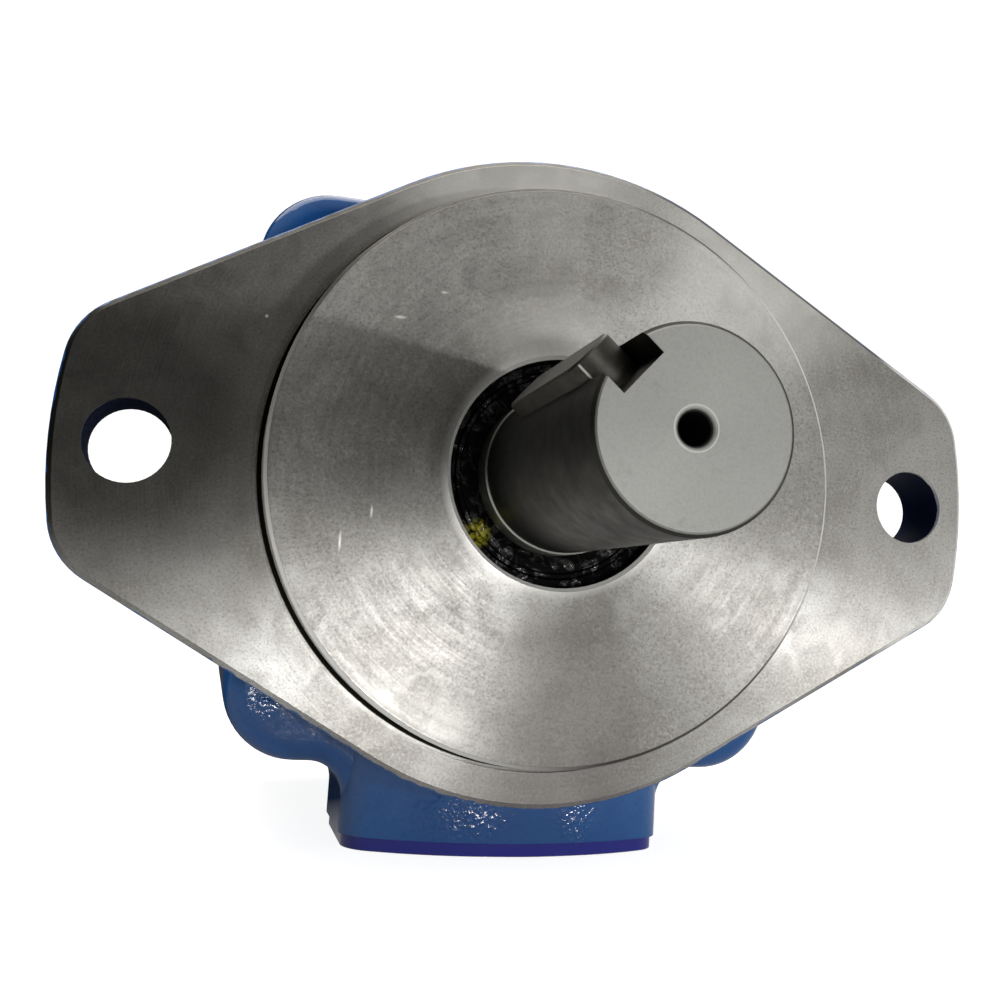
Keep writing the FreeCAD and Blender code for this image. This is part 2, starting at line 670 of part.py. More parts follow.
screws = body("housing_screws")
shank = level(screws, "screw", "screw_place", "screw_place")
outline(shank, [
    ("0", "-screw_reach"),
    ("screw_r - 1", "-screw_reach"),
    ("screw_r", "1 - screw_reach"),
    ("screw_r", "lobe_length"),
    ("screw_r * 1.5", "lobe_length"),
    ("screw_r * 1.5", "lobe_length + screw_r * 2 - 0.6"),
    ("screw_r * 1.5 - 0.6", "lobe_length + screw_r * 2"),
    ("0", "lobe_length + screw_r * 2"),
])
screw_turned = screws.newObject("PartDesign::Revolution", "screw_turned")
screw_turned.Profile = shank
screw_turned.ReferenceAxis = (shank, ["V_Axis"])
screw_turned.Angle = 360
finish(screws, screw_turned)


def hexagon(item, x, y, across_flats):
    """Hexagon socket about a point."""
    corners = []
    for k in range(6):
        angle = math.radians(60 * k)
        corners.append((
            "%s + %s * %.6f" % (x, across_flats, math.cos(angle) / math.sqrt(3)),
            "%s + %s * %.6f" % (y, across_flats, math.sin(angle) / math.sqrt(3)),
        ))
    return outline(item, corners)


socket = hexagon(across(screws, "screw_socket", "lobe_length + screw_r * 2"),
                 "screw_place", "screw_place", "screw_r * 5 / 3")
socket_cut = pocket(screws, socket, "screw_r", back=True)
round_pattern(screws, [screw_turned, socket_cut], "4")
moved(screws, "joint_place")


def oring(label, radius, section, place):
    """Rubber ring round the shaft's axis."""
    item = doc.addObject("Part::Torus", label)
    item.Label = label
    item.setExpression("Radius1", bound(radius))
    item.setExpression("Radius2", bound(section))
    item.Placement = FreeCAD.Placement(Vector(0, size(place), 0), FreeCAD.Rotation(Vector(1, 0, 0), 90))
    item.setExpression(".Placement.Base.y", bound(place))
    doc.recompute()
    return item


joint_oring = oring("housing_oring", "oring_groove_r + oring_groove_width / 2",
                    "oring_groove_depth / 2 - seat_gap", "joint_place + oring_groove_depth / 2")

# Shaft seal: steel case, rubber lip with its dust lip, and the spring round the lip

seal_case = body("shaft_seal_case")
turned(seal_case, "seal_case", [
    ("seal_bore_r - case_flange", "seal_facing"),
    ("seal_bore_r - seat_gap", "seal_facing"),
    ("seal_bore_r - seat_gap", "seal_width"),
    ("seal_bore_r - case_wall", "seal_width"),
    ("seal_bore_r - case_wall", "seal_facing + case_wall"),
    ("seal_bore_r - case_flange", "seal_facing + case_wall"),
])
moved(seal_case, "-seal_front")

seal_lip = body("shaft_seal_lip")
turned(seal_lip, "seal_lip", [
    ("seal_journal_r + lip_play", "dust_lip_place"),
    ("seal_journal_r + dust_lip_spread", "0"),
    ("seal_bore_r - bead_inset - bead_width", "0"),
    ("seal_bore_r - bead_inset - bead_width + bead_slope", "-bead_height"),
    ("seal_bore_r - bead_inset - bead_slope", "-bead_height"),
    ("seal_bore_r - bead_inset", "0"),
    ("seal_bore_r - seat_gap", "0"),
    ("seal_bore_r - seat_gap", "seal_facing"),
    ("seal_bore_r - case_flange", "seal_facing"),
    ("seal_bore_r - case_flange", "seal_web_back"),
    ("seal_journal_r + lip_wall", "seal_web_back + lip_shoulder"),
    ("seal_journal_r + lip_wall", "lip_place + lip_shoulder"),
    ("seal_journal_r + lip_shoulder", "lip_place + lip_back"),
    ("seal_journal_r + lip_play", "lip_place"),
    ("seal_journal_r + lip_hollow", "lip_place - lip_slope"),
    ("seal_journal_r + lip_hollow", "dust_lip_back"),
])
moved(seal_lip, "-seal_front")

garter = oring("seal_garter_spring", "seal_journal_r + lip_wall + garter_r + seat_gap", "garter_r",
               "garter_place - seal_front")

# Shaft bearing


def race(owner, name):
    """Ball groove all round a bearing ring."""
    profile = circle(level(owner, name, "0"), "pitch_r", "bearing_width / 2", "ball_r + race_play")
    return bored(owner, name, profile)


outer_ring = body("bearing_outer_ring")
turned(outer_ring, "outer_ring", [
    ("bearing_outer_r - shoulder_height", "0"),
    ("bearing_outer_r - seat_gap - 1", "0"),
    ("bearing_outer_r - seat_gap", "1"),
    ("bearing_outer_r - seat_gap", "bearing_width - 1"),
    ("bearing_outer_r - seat_gap - 1", "bearing_width"),
    ("bearing_outer_r - shoulder_height", "bearing_width"),
])
race(outer_ring, "outer_race")
moved(outer_ring, "bearing_place")

inner_ring = body("bearing_inner_ring")
turned(inner_ring, "inner_ring", [
    ("bearing_bore_r + seat_gap + 1", "0"),
    ("bearing_bore_r + shoulder_height", "0"),
    ("bearing_bore_r + shoulder_height", "bearing_width"),
    ("bearing_bore_r + seat_gap + 1", "bearing_width"),
    ("bearing_bore_r + seat_gap", "bearing_width - 1"),
    ("bearing_bore_r + seat_gap", "1"),
])
race(inner_ring, "inner_race")
moved(inner_ring, "bearing_place")


cage = body("bearing_cage")
turned(cage, "cage", [
    ("pitch_r - cage_half", "bearing_width / 2 - cage_width / 2"),
    ("pitch_r + cage_half", "bearing_width / 2 - cage_width / 2"),
    ("pitch_r + cage_half", "bearing_width / 2 + cage_width / 2"),
    ("pitch_r - cage_half", "bearing_width / 2 + cage_width / 2"),
])
cage_pocket = pocket(cage, circle(sketch(cage, "ball_pocket", "YZ_Plane", "pitch_r - cage_half * 2"),
                                  "bearing_width / 2", "0", "ball_r + race_play"),
                     "cage_half * 4", back=True)
round_pattern(cage, [cage_pocket], "ball_count")
moved(cage, "bearing_place")

balls = body("bearing_balls")
ball = balls.newObject("PartDesign::AdditiveSphere", "ball")
ball.setExpression("Radius", bound("ball_r"))
ball.AttachmentSupport = [(datum(balls, "XY_Plane"), "")]
ball.MapMode = "FlatFace"
ball.AttachmentOffset = FreeCAD.Placement(
    Vector(size("pitch_r"), size("bearing_width / 2"), 0), FreeCAD.Rotation())
ball.setExpression("AttachmentOffset.Base.x", bound("pitch_r"))
ball.setExpression("AttachmentOffset.Base.y", bound("bearing_width / 2"))
finish(balls, ball)
round_pattern(balls, [ball], "ball_count")
moved(balls, "bearing_place")


def retaining_ring(label, inner, outer, lug_place, thickness, place):
    """Open spring ring with two pierced lugs beside its gap."""
    owner = body(label)
    pad(owner, circle(circle(across(owner, label + "_ring", "0"), "0", "0", outer), "0", "0", inner),
        thickness, back=True)
    lugs = across(owner, label + "_lugs", "0")
    holes = across(owner, label + "_holes", "0")
    for x in ("6.4", "-6.4"):
        circle(lugs, x, "-(%s)" % lug_place, "3")
        circle(holes, x, "-(%s)" % lug_place, "1.25")
    pad(owner, lugs, thickness, back=True)
    gap = rectangle(across(owner, label + "_gap", "0"), "-3.4", "-(%s) - 3.5" % outer, "3.4", "0")
    pocket(owner, gap, thickness)
    pocket(owner, holes, thickness)
    return moved(owner, place)


bearing_clip = retaining_ring("bearing_retaining_ring", "bearing_outer_r - 3.2",
                              "bearing_outer_r + clip_depth - bore_gap", "bearing_outer_r - 4.2",
                              "clip_thickness", "bearing_place + bearing_width + seat_gap")
shaft_clip = retaining_ring("shaft_retaining_ring", "bearing_bore_r - shaft_clip_depth + seat_gap",
                            "bearing_bore_r + 2.2", "bearing_bore_r + 1",
                            "shaft_clip_thickness", "bearing_place + bearing_width + seat_gap")

# Pumping cartridge: pressure plate, cam ring, rotor, vanes and suction plate


def cartridge_spots(spread_sign):
    """The two places, opposite each other, of the dowels (1) or of the screws (-1)."""
    angle = math.radians(size("cam_angle + 90 + %d * cartridge_spread_angle" % spread_sign))
    return [
        ("cartridge_pitch_r * %.6f" % (side * math.cos(angle)),
         "cartridge_pitch_r * %.6f" % (side * math.sin(angle)))
        for side in (1, -1)
    ]


def cartridge_holes(owner, name, front, depth, spread_sign, radius):
    """Two holes for the dowels or the screws, from a plane towards the rear."""
    holes = across(owner, name, front)
    for x, y in cartridge_spots(spread_sign):
        circle(holes, x, y, radius)
    return pocket(owner, holes, depth)


def windows(owner, name, front, inner, outer, middle, depth):
    """Two port windows, opposite each other, cut from a plane towards the rear."""
    profile = across(owner, name, front)
    sector(profile, inner, outer, middle, "window_half_angle")
    sector(profile, inner, outer, middle + " + 180", "window_half_angle")
    return pocket(owner, profile, depth)


pressure_plate = body("pressure_plate")
turned(pressure_plate, "plate_form", [
    ("hub_r - 12", "bearing_place + bearing_width + wall_end + 1 - plate_place"),
    ("hub_r - 1", "bearing_place + bearing_width + wall_end + 1 - plate_place"),
    ("hub_r", "bearing_place + bearing_width + wall_end + 2 - plate_place"),
    ("hub_r", "0"),
    ("plate_r", "0"),
    ("plate_r", "plate_thickness"),
    ("waist_r + 1.6", "plate_thickness"),
    ("waist_r + 1.6", "0"),
    ("hub_r - 12", "0"),
])
ring_cut(pressure_plate, "hub_oring_groove", "hub_r - 2.6", "hub_r + 1",
         "bearing_place + bearing_width + wall_end + 3 - plate_place",
         "bearing_place + bearing_width + wall_end + 6.5 - plate_place")
ring_cut(pressure_plate, "rim_oring_groove", "plate_r - 3.4", "plate_r + 1", "3", "8.6")
ring_cut(pressure_plate, "plate_vane_groove", "vane_base_r - 1.9", "vane_base_r + 1.1",
         "plate_thickness - 1.6", "plate_thickness + 1")
windows(pressure_plate, "plate_kidneys", "-1", "kidney_inner_r", "kidney_outer_r",
        "cam_angle - 45", "plate_thickness + 2")
windows(pressure_plate, "plate_suction", "plate_thickness - window_depth", "window_inner_r",
        "plate_r + 1", "cam_angle + 45", "window_depth + 1")
cartridge_holes(pressure_plate, "plate_dowel_holes", "plate_thickness - cartridge_reach",
                "cartridge_reach + 1", 1, "dowel_r + seat_gap")
cartridge_holes(pressure_plate, "plate_screw_holes", "plate_thickness - cartridge_reach",
                "cartridge_reach + 1", -1, "cartridge_screw_r + seat_gap")
moved(pressure_plate, "plate_place")

hub_oring = oring("plate_hub_oring", "hub_r - 1.28", "1.28",
                  "bearing_place + bearing_width + wall_end + 4.75")
rim_oring = oring("plate_rim_oring", "plate_r - 1.66", "1.66", "plate_place + 4.9")
backup = body("plate_backup_ring")
turned(backup, "backup", [
    ("plate_r - 3.3", "0"),
    ("plate_r - seat_gap", "0"),
    ("plate_r - seat_gap", "1.6"),
    ("plate_r - 3.3", "1.6"),
])
moved(backup, "plate_place + 6.9")


def cam_profile():
    """Closed inner line of the cam ring: small and large radius twice a turn."""
    minor = size("cam_minor_r")
    lift = size("cam_lift")
    large = math.radians(size("cam_angle"))
    points = []
    for step in range(48):
        angle = 2 * math.pi * step / 48
        radius = minor + lift * (1 + math.cos(2 * (angle - large))) / 2
        points.append(Vector(radius * math.cos(angle), 0, radius * math.sin(angle)))
    curve = Part.BSplineCurve()
    curve.interpolate(Points=points, PeriodicFlag=True)
    return Part.Wire([curve.toShape()])


cam_ring = doc.addObject("Part::Feature", "cam_ring")
cam_ring.Label = "cam_ring"
ring_width = size("ring_width")
ring_shape = Part.makeCylinder(size("ring_r"), ring_width, Vector(0, 0, 0), Axis)
ring_shape = ring_shape.cut(Part.Face(cam_profile()).extrude(Vector(0, ring_width, 0)))
for sign, radius in ((1, "dowel_r + seat_gap"), (-1, "cartridge_screw_r + seat_gap")):
    for x, z in cartridge_spots(sign):
        hole = Part.makeCylinder(size(radius), ring_width, Vector(size(x), 0, size(z)), Axis)
        ring_shape = ring_shape.cut(hole)
cam_ring.Shape = ring_shape.removeSplitter()
cam_ring.Placement = FreeCAD.Placement(Vector(0, size("plate_place + plate_thickness"), 0),
                                       FreeCAD.Rotation())
cam_ring.setExpression(".Placement.Base.y", bound("plate_place + plate_thickness"))

suction_plate = body("suction_plate")
turned(suction_plate, "rear_plate_form", [
    ("journal_r + bush_wall + seat_gap", "0"),
    ("ring_r", "0"),
    ("ring_r", "plate_thickness"),
    ("rear_hub_r", "plate_thickness"),
    ("rear_hub_r", "plate_thickness + rear_hub_length - 1"),
    ("rear_hub_r - 1", "plate_thickness + rear_hub_length"),
    ("journal_r + bush_wall + seat_gap", "plate_thickness + rear_hub_length"),
])
ring_cut(suction_plate, "rear_vane_groove", "vane_base_r - 1.9", "vane_base_r + 1.1", "-1", "1.6")
windows(suction_plate, "rear_suction", "-1", "window_inner_r", "ring_r + 1", "cam_angle + 45",
        "window_depth + 1")
windows(suction_plate, "rear_kidneys", "-1", "kidney_inner_r", "kidney_outer_r", "cam_angle - 45", "5")
cartridge_holes(suction_plate, "rear_dowel_holes", "-1", "cartridge_reach + 1", 1,
                "dowel_r + seat_gap")
cartridge_holes(suction_plate, "rear_screw_holes", "-1", "plate_thickness + 2", -1,
                "cartridge_screw_r + seat_gap")
cartridge_holes(suction_plate, "rear_head_holes", "plate_thickness - head_height - screw_short",
                "head_height + screw_short + 1", -1, "head_r + screw_play")
moved(suction_plate, "plate_place + plate_thickness + ring_width")

bush = body("rear_bush")
turned(bush, "bush", [
    ("journal_r + journal_play", "0"),
    ("journal_r + bush_wall", "0"),
    ("journal_r + bush_wall", "bush_length"),
    ("journal_r + journal_play", "bush_length"),
])
moved(bush, "plate_place + plate_thickness + ring_width + 1")

dowels = body("cartridge_dowels")
dowel_profile = across(dowels, "dowel", "dowel_short - cartridge_reach")
for x, y in cartridge_spots(1):
    circle(dowel_profile, x, y, "dowel_r")
pad(dowels, dowel_profile, "ring_width + cartridge_reach * 2 - dowel_short * 2", back=True)
rounded(dowels, "dowel_ends", lambda edge: edge.Curve.TypeId == "Part::GeomCircle", "dowel_chamfer",
        "Chamfer")
moved(dowels, "plate_place + plate_thickness")

cartridge_screws = body("cartridge_screws")
cartridge_shank = across(cartridge_screws, "cartridge_shank", "screw_short - cartridge_reach")
cartridge_head = across(cartridge_screws, "cartridge_head",
                        "ring_width + plate_thickness - head_height - screw_short")
cartridge_socket = across(cartridge_screws, "cartridge_socket",
                          "ring_width + plate_thickness - screw_short")
for x, y in cartridge_spots(-1):
    circle(cartridge_shank, x, y, "cartridge_screw_r")
    circle(cartridge_head, x, y, "head_r")
    hexagon(cartridge_socket, x, y, "head_r")
pad(cartridge_screws, cartridge_shank,
    "ring_width + plate_thickness - head_height + cartridge_reach - screw_short * 2", back=True)
pad(cartridge_screws, cartridge_head, "head_height", back=True)
pocket(cartridge_screws, cartridge_socket, "head_height / 2", back=True)
moved(cartridge_screws, "plate_place + plate_thickness")

rotor = body("rotor")
rotor_length = "ring_width - rotor_play * 2"
pad(rotor, circle(circle(across(rotor, "rotor_form", "0"), "0", "0", "rotor_r"),
                  "0", "0", "spline_r + spline_play"), rotor_length, back=True)
tooth = pad(rotor, rectangle(across(rotor, "rotor_tooth", "0"),
                             "spline_r - spline_depth + spline_play", "spline_play - spline_width / 2",
                             "spline_r + 1", "spline_width / 2 - spline_play"),
            rotor_length, back=True)
round_pattern(rotor, [tooth], "spline_count")
slot = pocket(rotor, rectangle(across(rotor, "vane_slot", "-1"),
                               "vane_base_r - 0.5", "-vane_thickness / 2 - vane_play",
                               "rotor_r + 1", "vane_thickness / 2 + vane_play"),
              "ring_width + 2")
slot_root = pocket(rotor, circle(across(rotor, "slot_root", "-1"), "vane_base_r", "0", "slot_root_r"),
                   "ring_width + 2")
pin_hole = pocket(rotor, circle(sketch(rotor, "pin_hole", "YZ_Plane", "pin_base_r"),
                                "ring_width / 2", "0", "pin_r + vane_play"),
                  "vane_base_r - pin_base_r", back=True)
round_pattern(rotor, [slot, slot_root, pin_hole], "vane_count")
moved(rotor, "plate_place + plate_thickness + rotor_play")

vanes = body("vanes")
vane = pad(vanes, outline(across(vanes, "vane", "0"), [
    ("vane_base_r", "-vane_thickness / 2"),
    ("cam_minor_r - vane_tip_gap - 0.7", "-vane_thickness / 2"),
    ("cam_minor_r - vane_tip_gap", "-vane_thickness / 5"),
    ("cam_minor_r - vane_tip_gap", "vane_thickness / 5"),
    ("cam_minor_r - vane_tip_gap - 0.7", "vane_thickness / 2"),
    ("vane_base_r", "vane_thickness / 2"),
]), rotor_length, back=True)
round_pattern(vanes, [vane], "vane_count")
moved(vanes, "plate_place + plate_thickness + rotor_play")

pins = body("vane_pins")
pin = pad(pins, circle(sketch(pins, "pin", "YZ_Plane", "pin_base_r + seat_gap"),
                       "ring_width / 2", "0", "pin_r"),
          "vane_base_r - pin_base_r - seat_gap * 2")
round_pattern(pins, [pin], "vane_count")
moved(pins, "plate_place + plate_thickness + rotor_play")

# Drive shaft and key, built with the keyway up


def round_ended(item, half_width, front, back):
    """Outline with two round ends about the centres given along the shaft."""
    half = size(half_width)
    nose = arc(item, ("0", front), half_width, 180, 360)
    tail = arc(item, ("0", back), half_width, 0, 180)
    left = line(item, (-half, size(back)), (-half, size(front)))
    right = line(item, (half, size(front)), (half, size(back)))
    for first, first_end, second, second_end in (
            (tail, 2, left, 1), (left, 2, nose, 1), (nose, 2, right, 1), (right, 2, tail, 1)):
        join(item, first, first_end, second, second_end, kind="Tangent")
    return item


def tongue(item, half_width, front, back):
    """Outline with a square front end and a round back end."""
    half = size(half_width)
    turn = size(back)
    end = size(front)
    cap_arc = arc(item, ("0", back), half_width, 0, 180)
    left = line(item, (-half, turn), (-half, end))
    base = line(item, (-half, end), (half, end))
    right = line(item, (half, end), (half, turn))
    join(item, cap_arc, 2, left, 1, kind="Tangent")
    join(item, left, 2, base, 1)
    join(item, base, 2, right, 1)
    join(item, right, 2, cap_arc, 1, kind="Tangent")
    tie(item, "Y", base, 1, front)
    tie(item, "Y", base, 2, front)
    return item


shaft = body("drive_shaft")
turned(shaft, "shaft_form", [
    ("0", "-shaft_reach"),
    ("shaft_r - shaft_chamfer", "-shaft_reach"),
    ("shaft_r", "shaft_chamfer - shaft_reach"),
    ("shaft_r", "-seal_journal_front"),
    ("seal_journal_r", "seal_journal_r - shaft_r - seal_journal_front"),
    ("seal_journal_r", "bearing_place - collar_length"),
    ("collar_r", "bearing_place - collar_length"),
    ("collar_r", "bearing_place"),
    ("bearing_bore_r", "bearing_place"),
    ("bearing_bore_r", "bearing_place + bearing_width + shaft_clip_thickness + clip_land"),
    ("waist_r", "bearing_place + bearing_width + shaft_clip_thickness + clip_land + bearing_bore_r - waist_r"),
    ("waist_r", "plate_place + plate_thickness - 3"),
    ("spline_r", "plate_place + plate_thickness - 2"),
    ("spline_r", "plate_place + plate_thickness + ring_width"),
    ("journal_r", "plate_place + plate_thickness + ring_width"),
    ("journal_r", "plate_place + plate_thickness + ring_width + bush_length + 2"),
    ("journal_r - 1", "plate_place + plate_thickness + ring_width + bush_length + 3"),
    ("0", "plate_place + plate_thickness + ring_width + bush_length + 3"),
])
ring_cut(shaft, "shaft_clip_groove", "bearing_bore_r - shaft_clip_depth", "bearing_bore_r + 1",
         "bearing_place + bearing_width", "bearing_place + bearing_width + shaft_clip_thickness + bore_gap")
bore(shaft, "centre_hole", [
    ("0", "-shaft_reach - 1"),
    ("centre_mouth_r + 1", "-shaft_reach - 1"),
    ("centre_hole_r", "centre_mouth_r - centre_hole_r - shaft_reach"),
    ("centre_hole_r", "centre_depth - shaft_reach"),
    ("0", "centre_depth + centre_hole_r * 0.6 - shaft_reach"),
])
keyway = tongue(level(shaft, "keyway", "key_floor"), "key_width / 2 + seat_gap", "-shaft_reach - 1",
                "key_inset + key_length - key_width / 2 - shaft_reach")
pocket(shaft, keyway, "shaft_r", back=True)
spline_slot = pocket(shaft, rectangle(across(shaft, "spline_slot", "plate_place + plate_thickness - 2.5"),
                                      "spline_r - spline_depth", "-spline_width / 2",
                                      "collar_r", "spline_width / 2"),
                     "ring_width + 3")
round_pattern(shaft, [spline_slot], "spline_count")

key = body("shaft_key")
pad(key, round_ended(level(key, "key", "key_floor"), "key_width / 2",
                     "key_inset + key_width / 2 - shaft_reach",
                     "key_inset + key_length - key_width / 2 - shaft_reach"), "key_top - key_floor")
rounded(key, "key_edges", lambda edge: all(abs(vertex.Point.z - size("key_top")) < 1e-4
                                           for vertex in edge.Vertexes), "key_chamfer", "Chamfer")
# What the shaft carries is turned with it to the key's lean, so that the spline teeth stay in mesh
for piece in (shaft, key, rotor, vanes, pins):
    piece.Placement = FreeCAD.Placement(piece.Placement.Base, FreeCAD.Rotation(Axis, -size("key_angle")))
    piece.setExpression(".Placement.Rotation.Angle", bound("360 - key_angle"))

# Check every object, then write each piece to its own file

PIECES = [
    cap, housing, screws, joint_oring, seal_case, seal_lip, garter, outer_ring, inner_ring, cage,
    balls, bearing_clip, shaft_clip, pressure_plate, hub_oring, rim_oring, backup, cam_ring,
    suction_plate, bush, dowels, cartridge_screws, rotor, vanes, pins, shaft, key,
]
doc.recompute()
for item in doc.Objects:
    if "Invalid" in item.State or "Error" in item.State:
        raise RuntimeError("%s failed: %s" % (item.Name, item.State))
for piece in PIECES:
    if piece.Shape.isNull() or not piece.Shape.isValid():
        raise RuntimeError("%s has no valid shape" % piece.Label)
os.makedirs("parts", exist_ok=True)
for piece in PIECES:
    piece.Shape.exportStep("parts/%s.step" % piece.Label)
    print("%-24s %2d solids %10.1f mm3" % (piece.Label, len(piece.Shape.Solids), piece.Shape.Volume))
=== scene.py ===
import math
from collections import namedtuple

import bpy
from mathutils import Matrix, Vector


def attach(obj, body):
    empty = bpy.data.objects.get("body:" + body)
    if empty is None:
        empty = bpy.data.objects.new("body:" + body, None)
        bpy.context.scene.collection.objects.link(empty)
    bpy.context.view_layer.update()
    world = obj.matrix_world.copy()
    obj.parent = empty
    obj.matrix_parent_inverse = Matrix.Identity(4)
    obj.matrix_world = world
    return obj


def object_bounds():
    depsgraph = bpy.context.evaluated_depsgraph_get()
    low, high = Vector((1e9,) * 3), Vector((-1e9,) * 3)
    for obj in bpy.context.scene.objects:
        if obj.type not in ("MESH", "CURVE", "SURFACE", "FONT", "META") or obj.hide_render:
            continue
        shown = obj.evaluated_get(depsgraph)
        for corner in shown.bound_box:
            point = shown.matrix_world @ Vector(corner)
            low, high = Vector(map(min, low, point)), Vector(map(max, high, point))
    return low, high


# A hydraulic vane pump: faced grey iron on its mounting flange, glossy blue enamel on its castings, a dark
# keyed shaft and an oily black seal. Meshes are in metres, and patterns and their places in millimetres.

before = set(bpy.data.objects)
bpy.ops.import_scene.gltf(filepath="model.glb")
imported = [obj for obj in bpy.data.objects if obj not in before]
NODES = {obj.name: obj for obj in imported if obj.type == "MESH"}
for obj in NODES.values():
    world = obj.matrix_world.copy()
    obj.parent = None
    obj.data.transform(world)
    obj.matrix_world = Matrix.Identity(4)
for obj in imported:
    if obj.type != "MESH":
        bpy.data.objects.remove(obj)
cad_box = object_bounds()

MM = 0.001

# Places on the pump that the finishes follow
PILOT_TOP = -9.5
PILOT_RADIUS = 63.5
SEAL_BORE_RADIUS = 25.0
UNDERCUT_RADIUS = 65.1
JOINT = 75.0
SHAFT_END = -85.3
PRESSURE_FACE = -86.0
SUCTION_FACE = 84.0
FACE_STEP = 3.1
PORT_DEPTH = 40.0
BOLT_PLACE = 90.5
SCREW_PLACE = 50.0
SCREW_HEADS = 144.5
KEY_LEAN = math.radians(49.2)

# A port's axis behind the mounting face, the reach of its bore, the places of its tapped holes to each side
# and along the shaft, and the reach of a hole
Port = namedtuple("Port", "place bore aside along hole")
PRESSURE_PORT = Port(place=44.0, bore=16.3, aside=29.35, along=15.1, hole=5.3)
SUCTION_PORT = Port(place=128.0, bore=25.8, aside=38.9, along=21.45, hole=6.3)


# Colours and nodes

def linear(code):
    """Linear colour of an sRGB hex code."""
    channels = [int(code[k:k + 2], 16) / 255 for k in (0, 2, 4)]
    return [c / 12.92 if c <= 0.04045 else ((c + 0.055) / 1.055) ** 2.4 for c in channels] + [1.0]


class Nodes:
    """The node tree of a material or of the world."""

    def __init__(self, tree):
        tree.nodes.clear()
        self.tree = tree

    def add(self, kind, sockets, take=0, **settings):
        """Add a node with its settings and links, and give one of its outputs.

        An input takes a number, a vector, a hex colour or another node's output.
        """
        node = self.tree.nodes.new("ShaderNode" + kind)
        for name, value in settings.items():
            setattr(node, name, value)
        for name, value in sockets.items():
            if isinstance(value, bpy.types.NodeSocket):
                self.tree.links.new(value, node.inputs[name])
            elif isinstance(value, str):
                node.inputs[name].default_value = linear(value)
            else:
                node.inputs[name].default_value = value
        return node.outputs[take] if len(node.outputs) else node


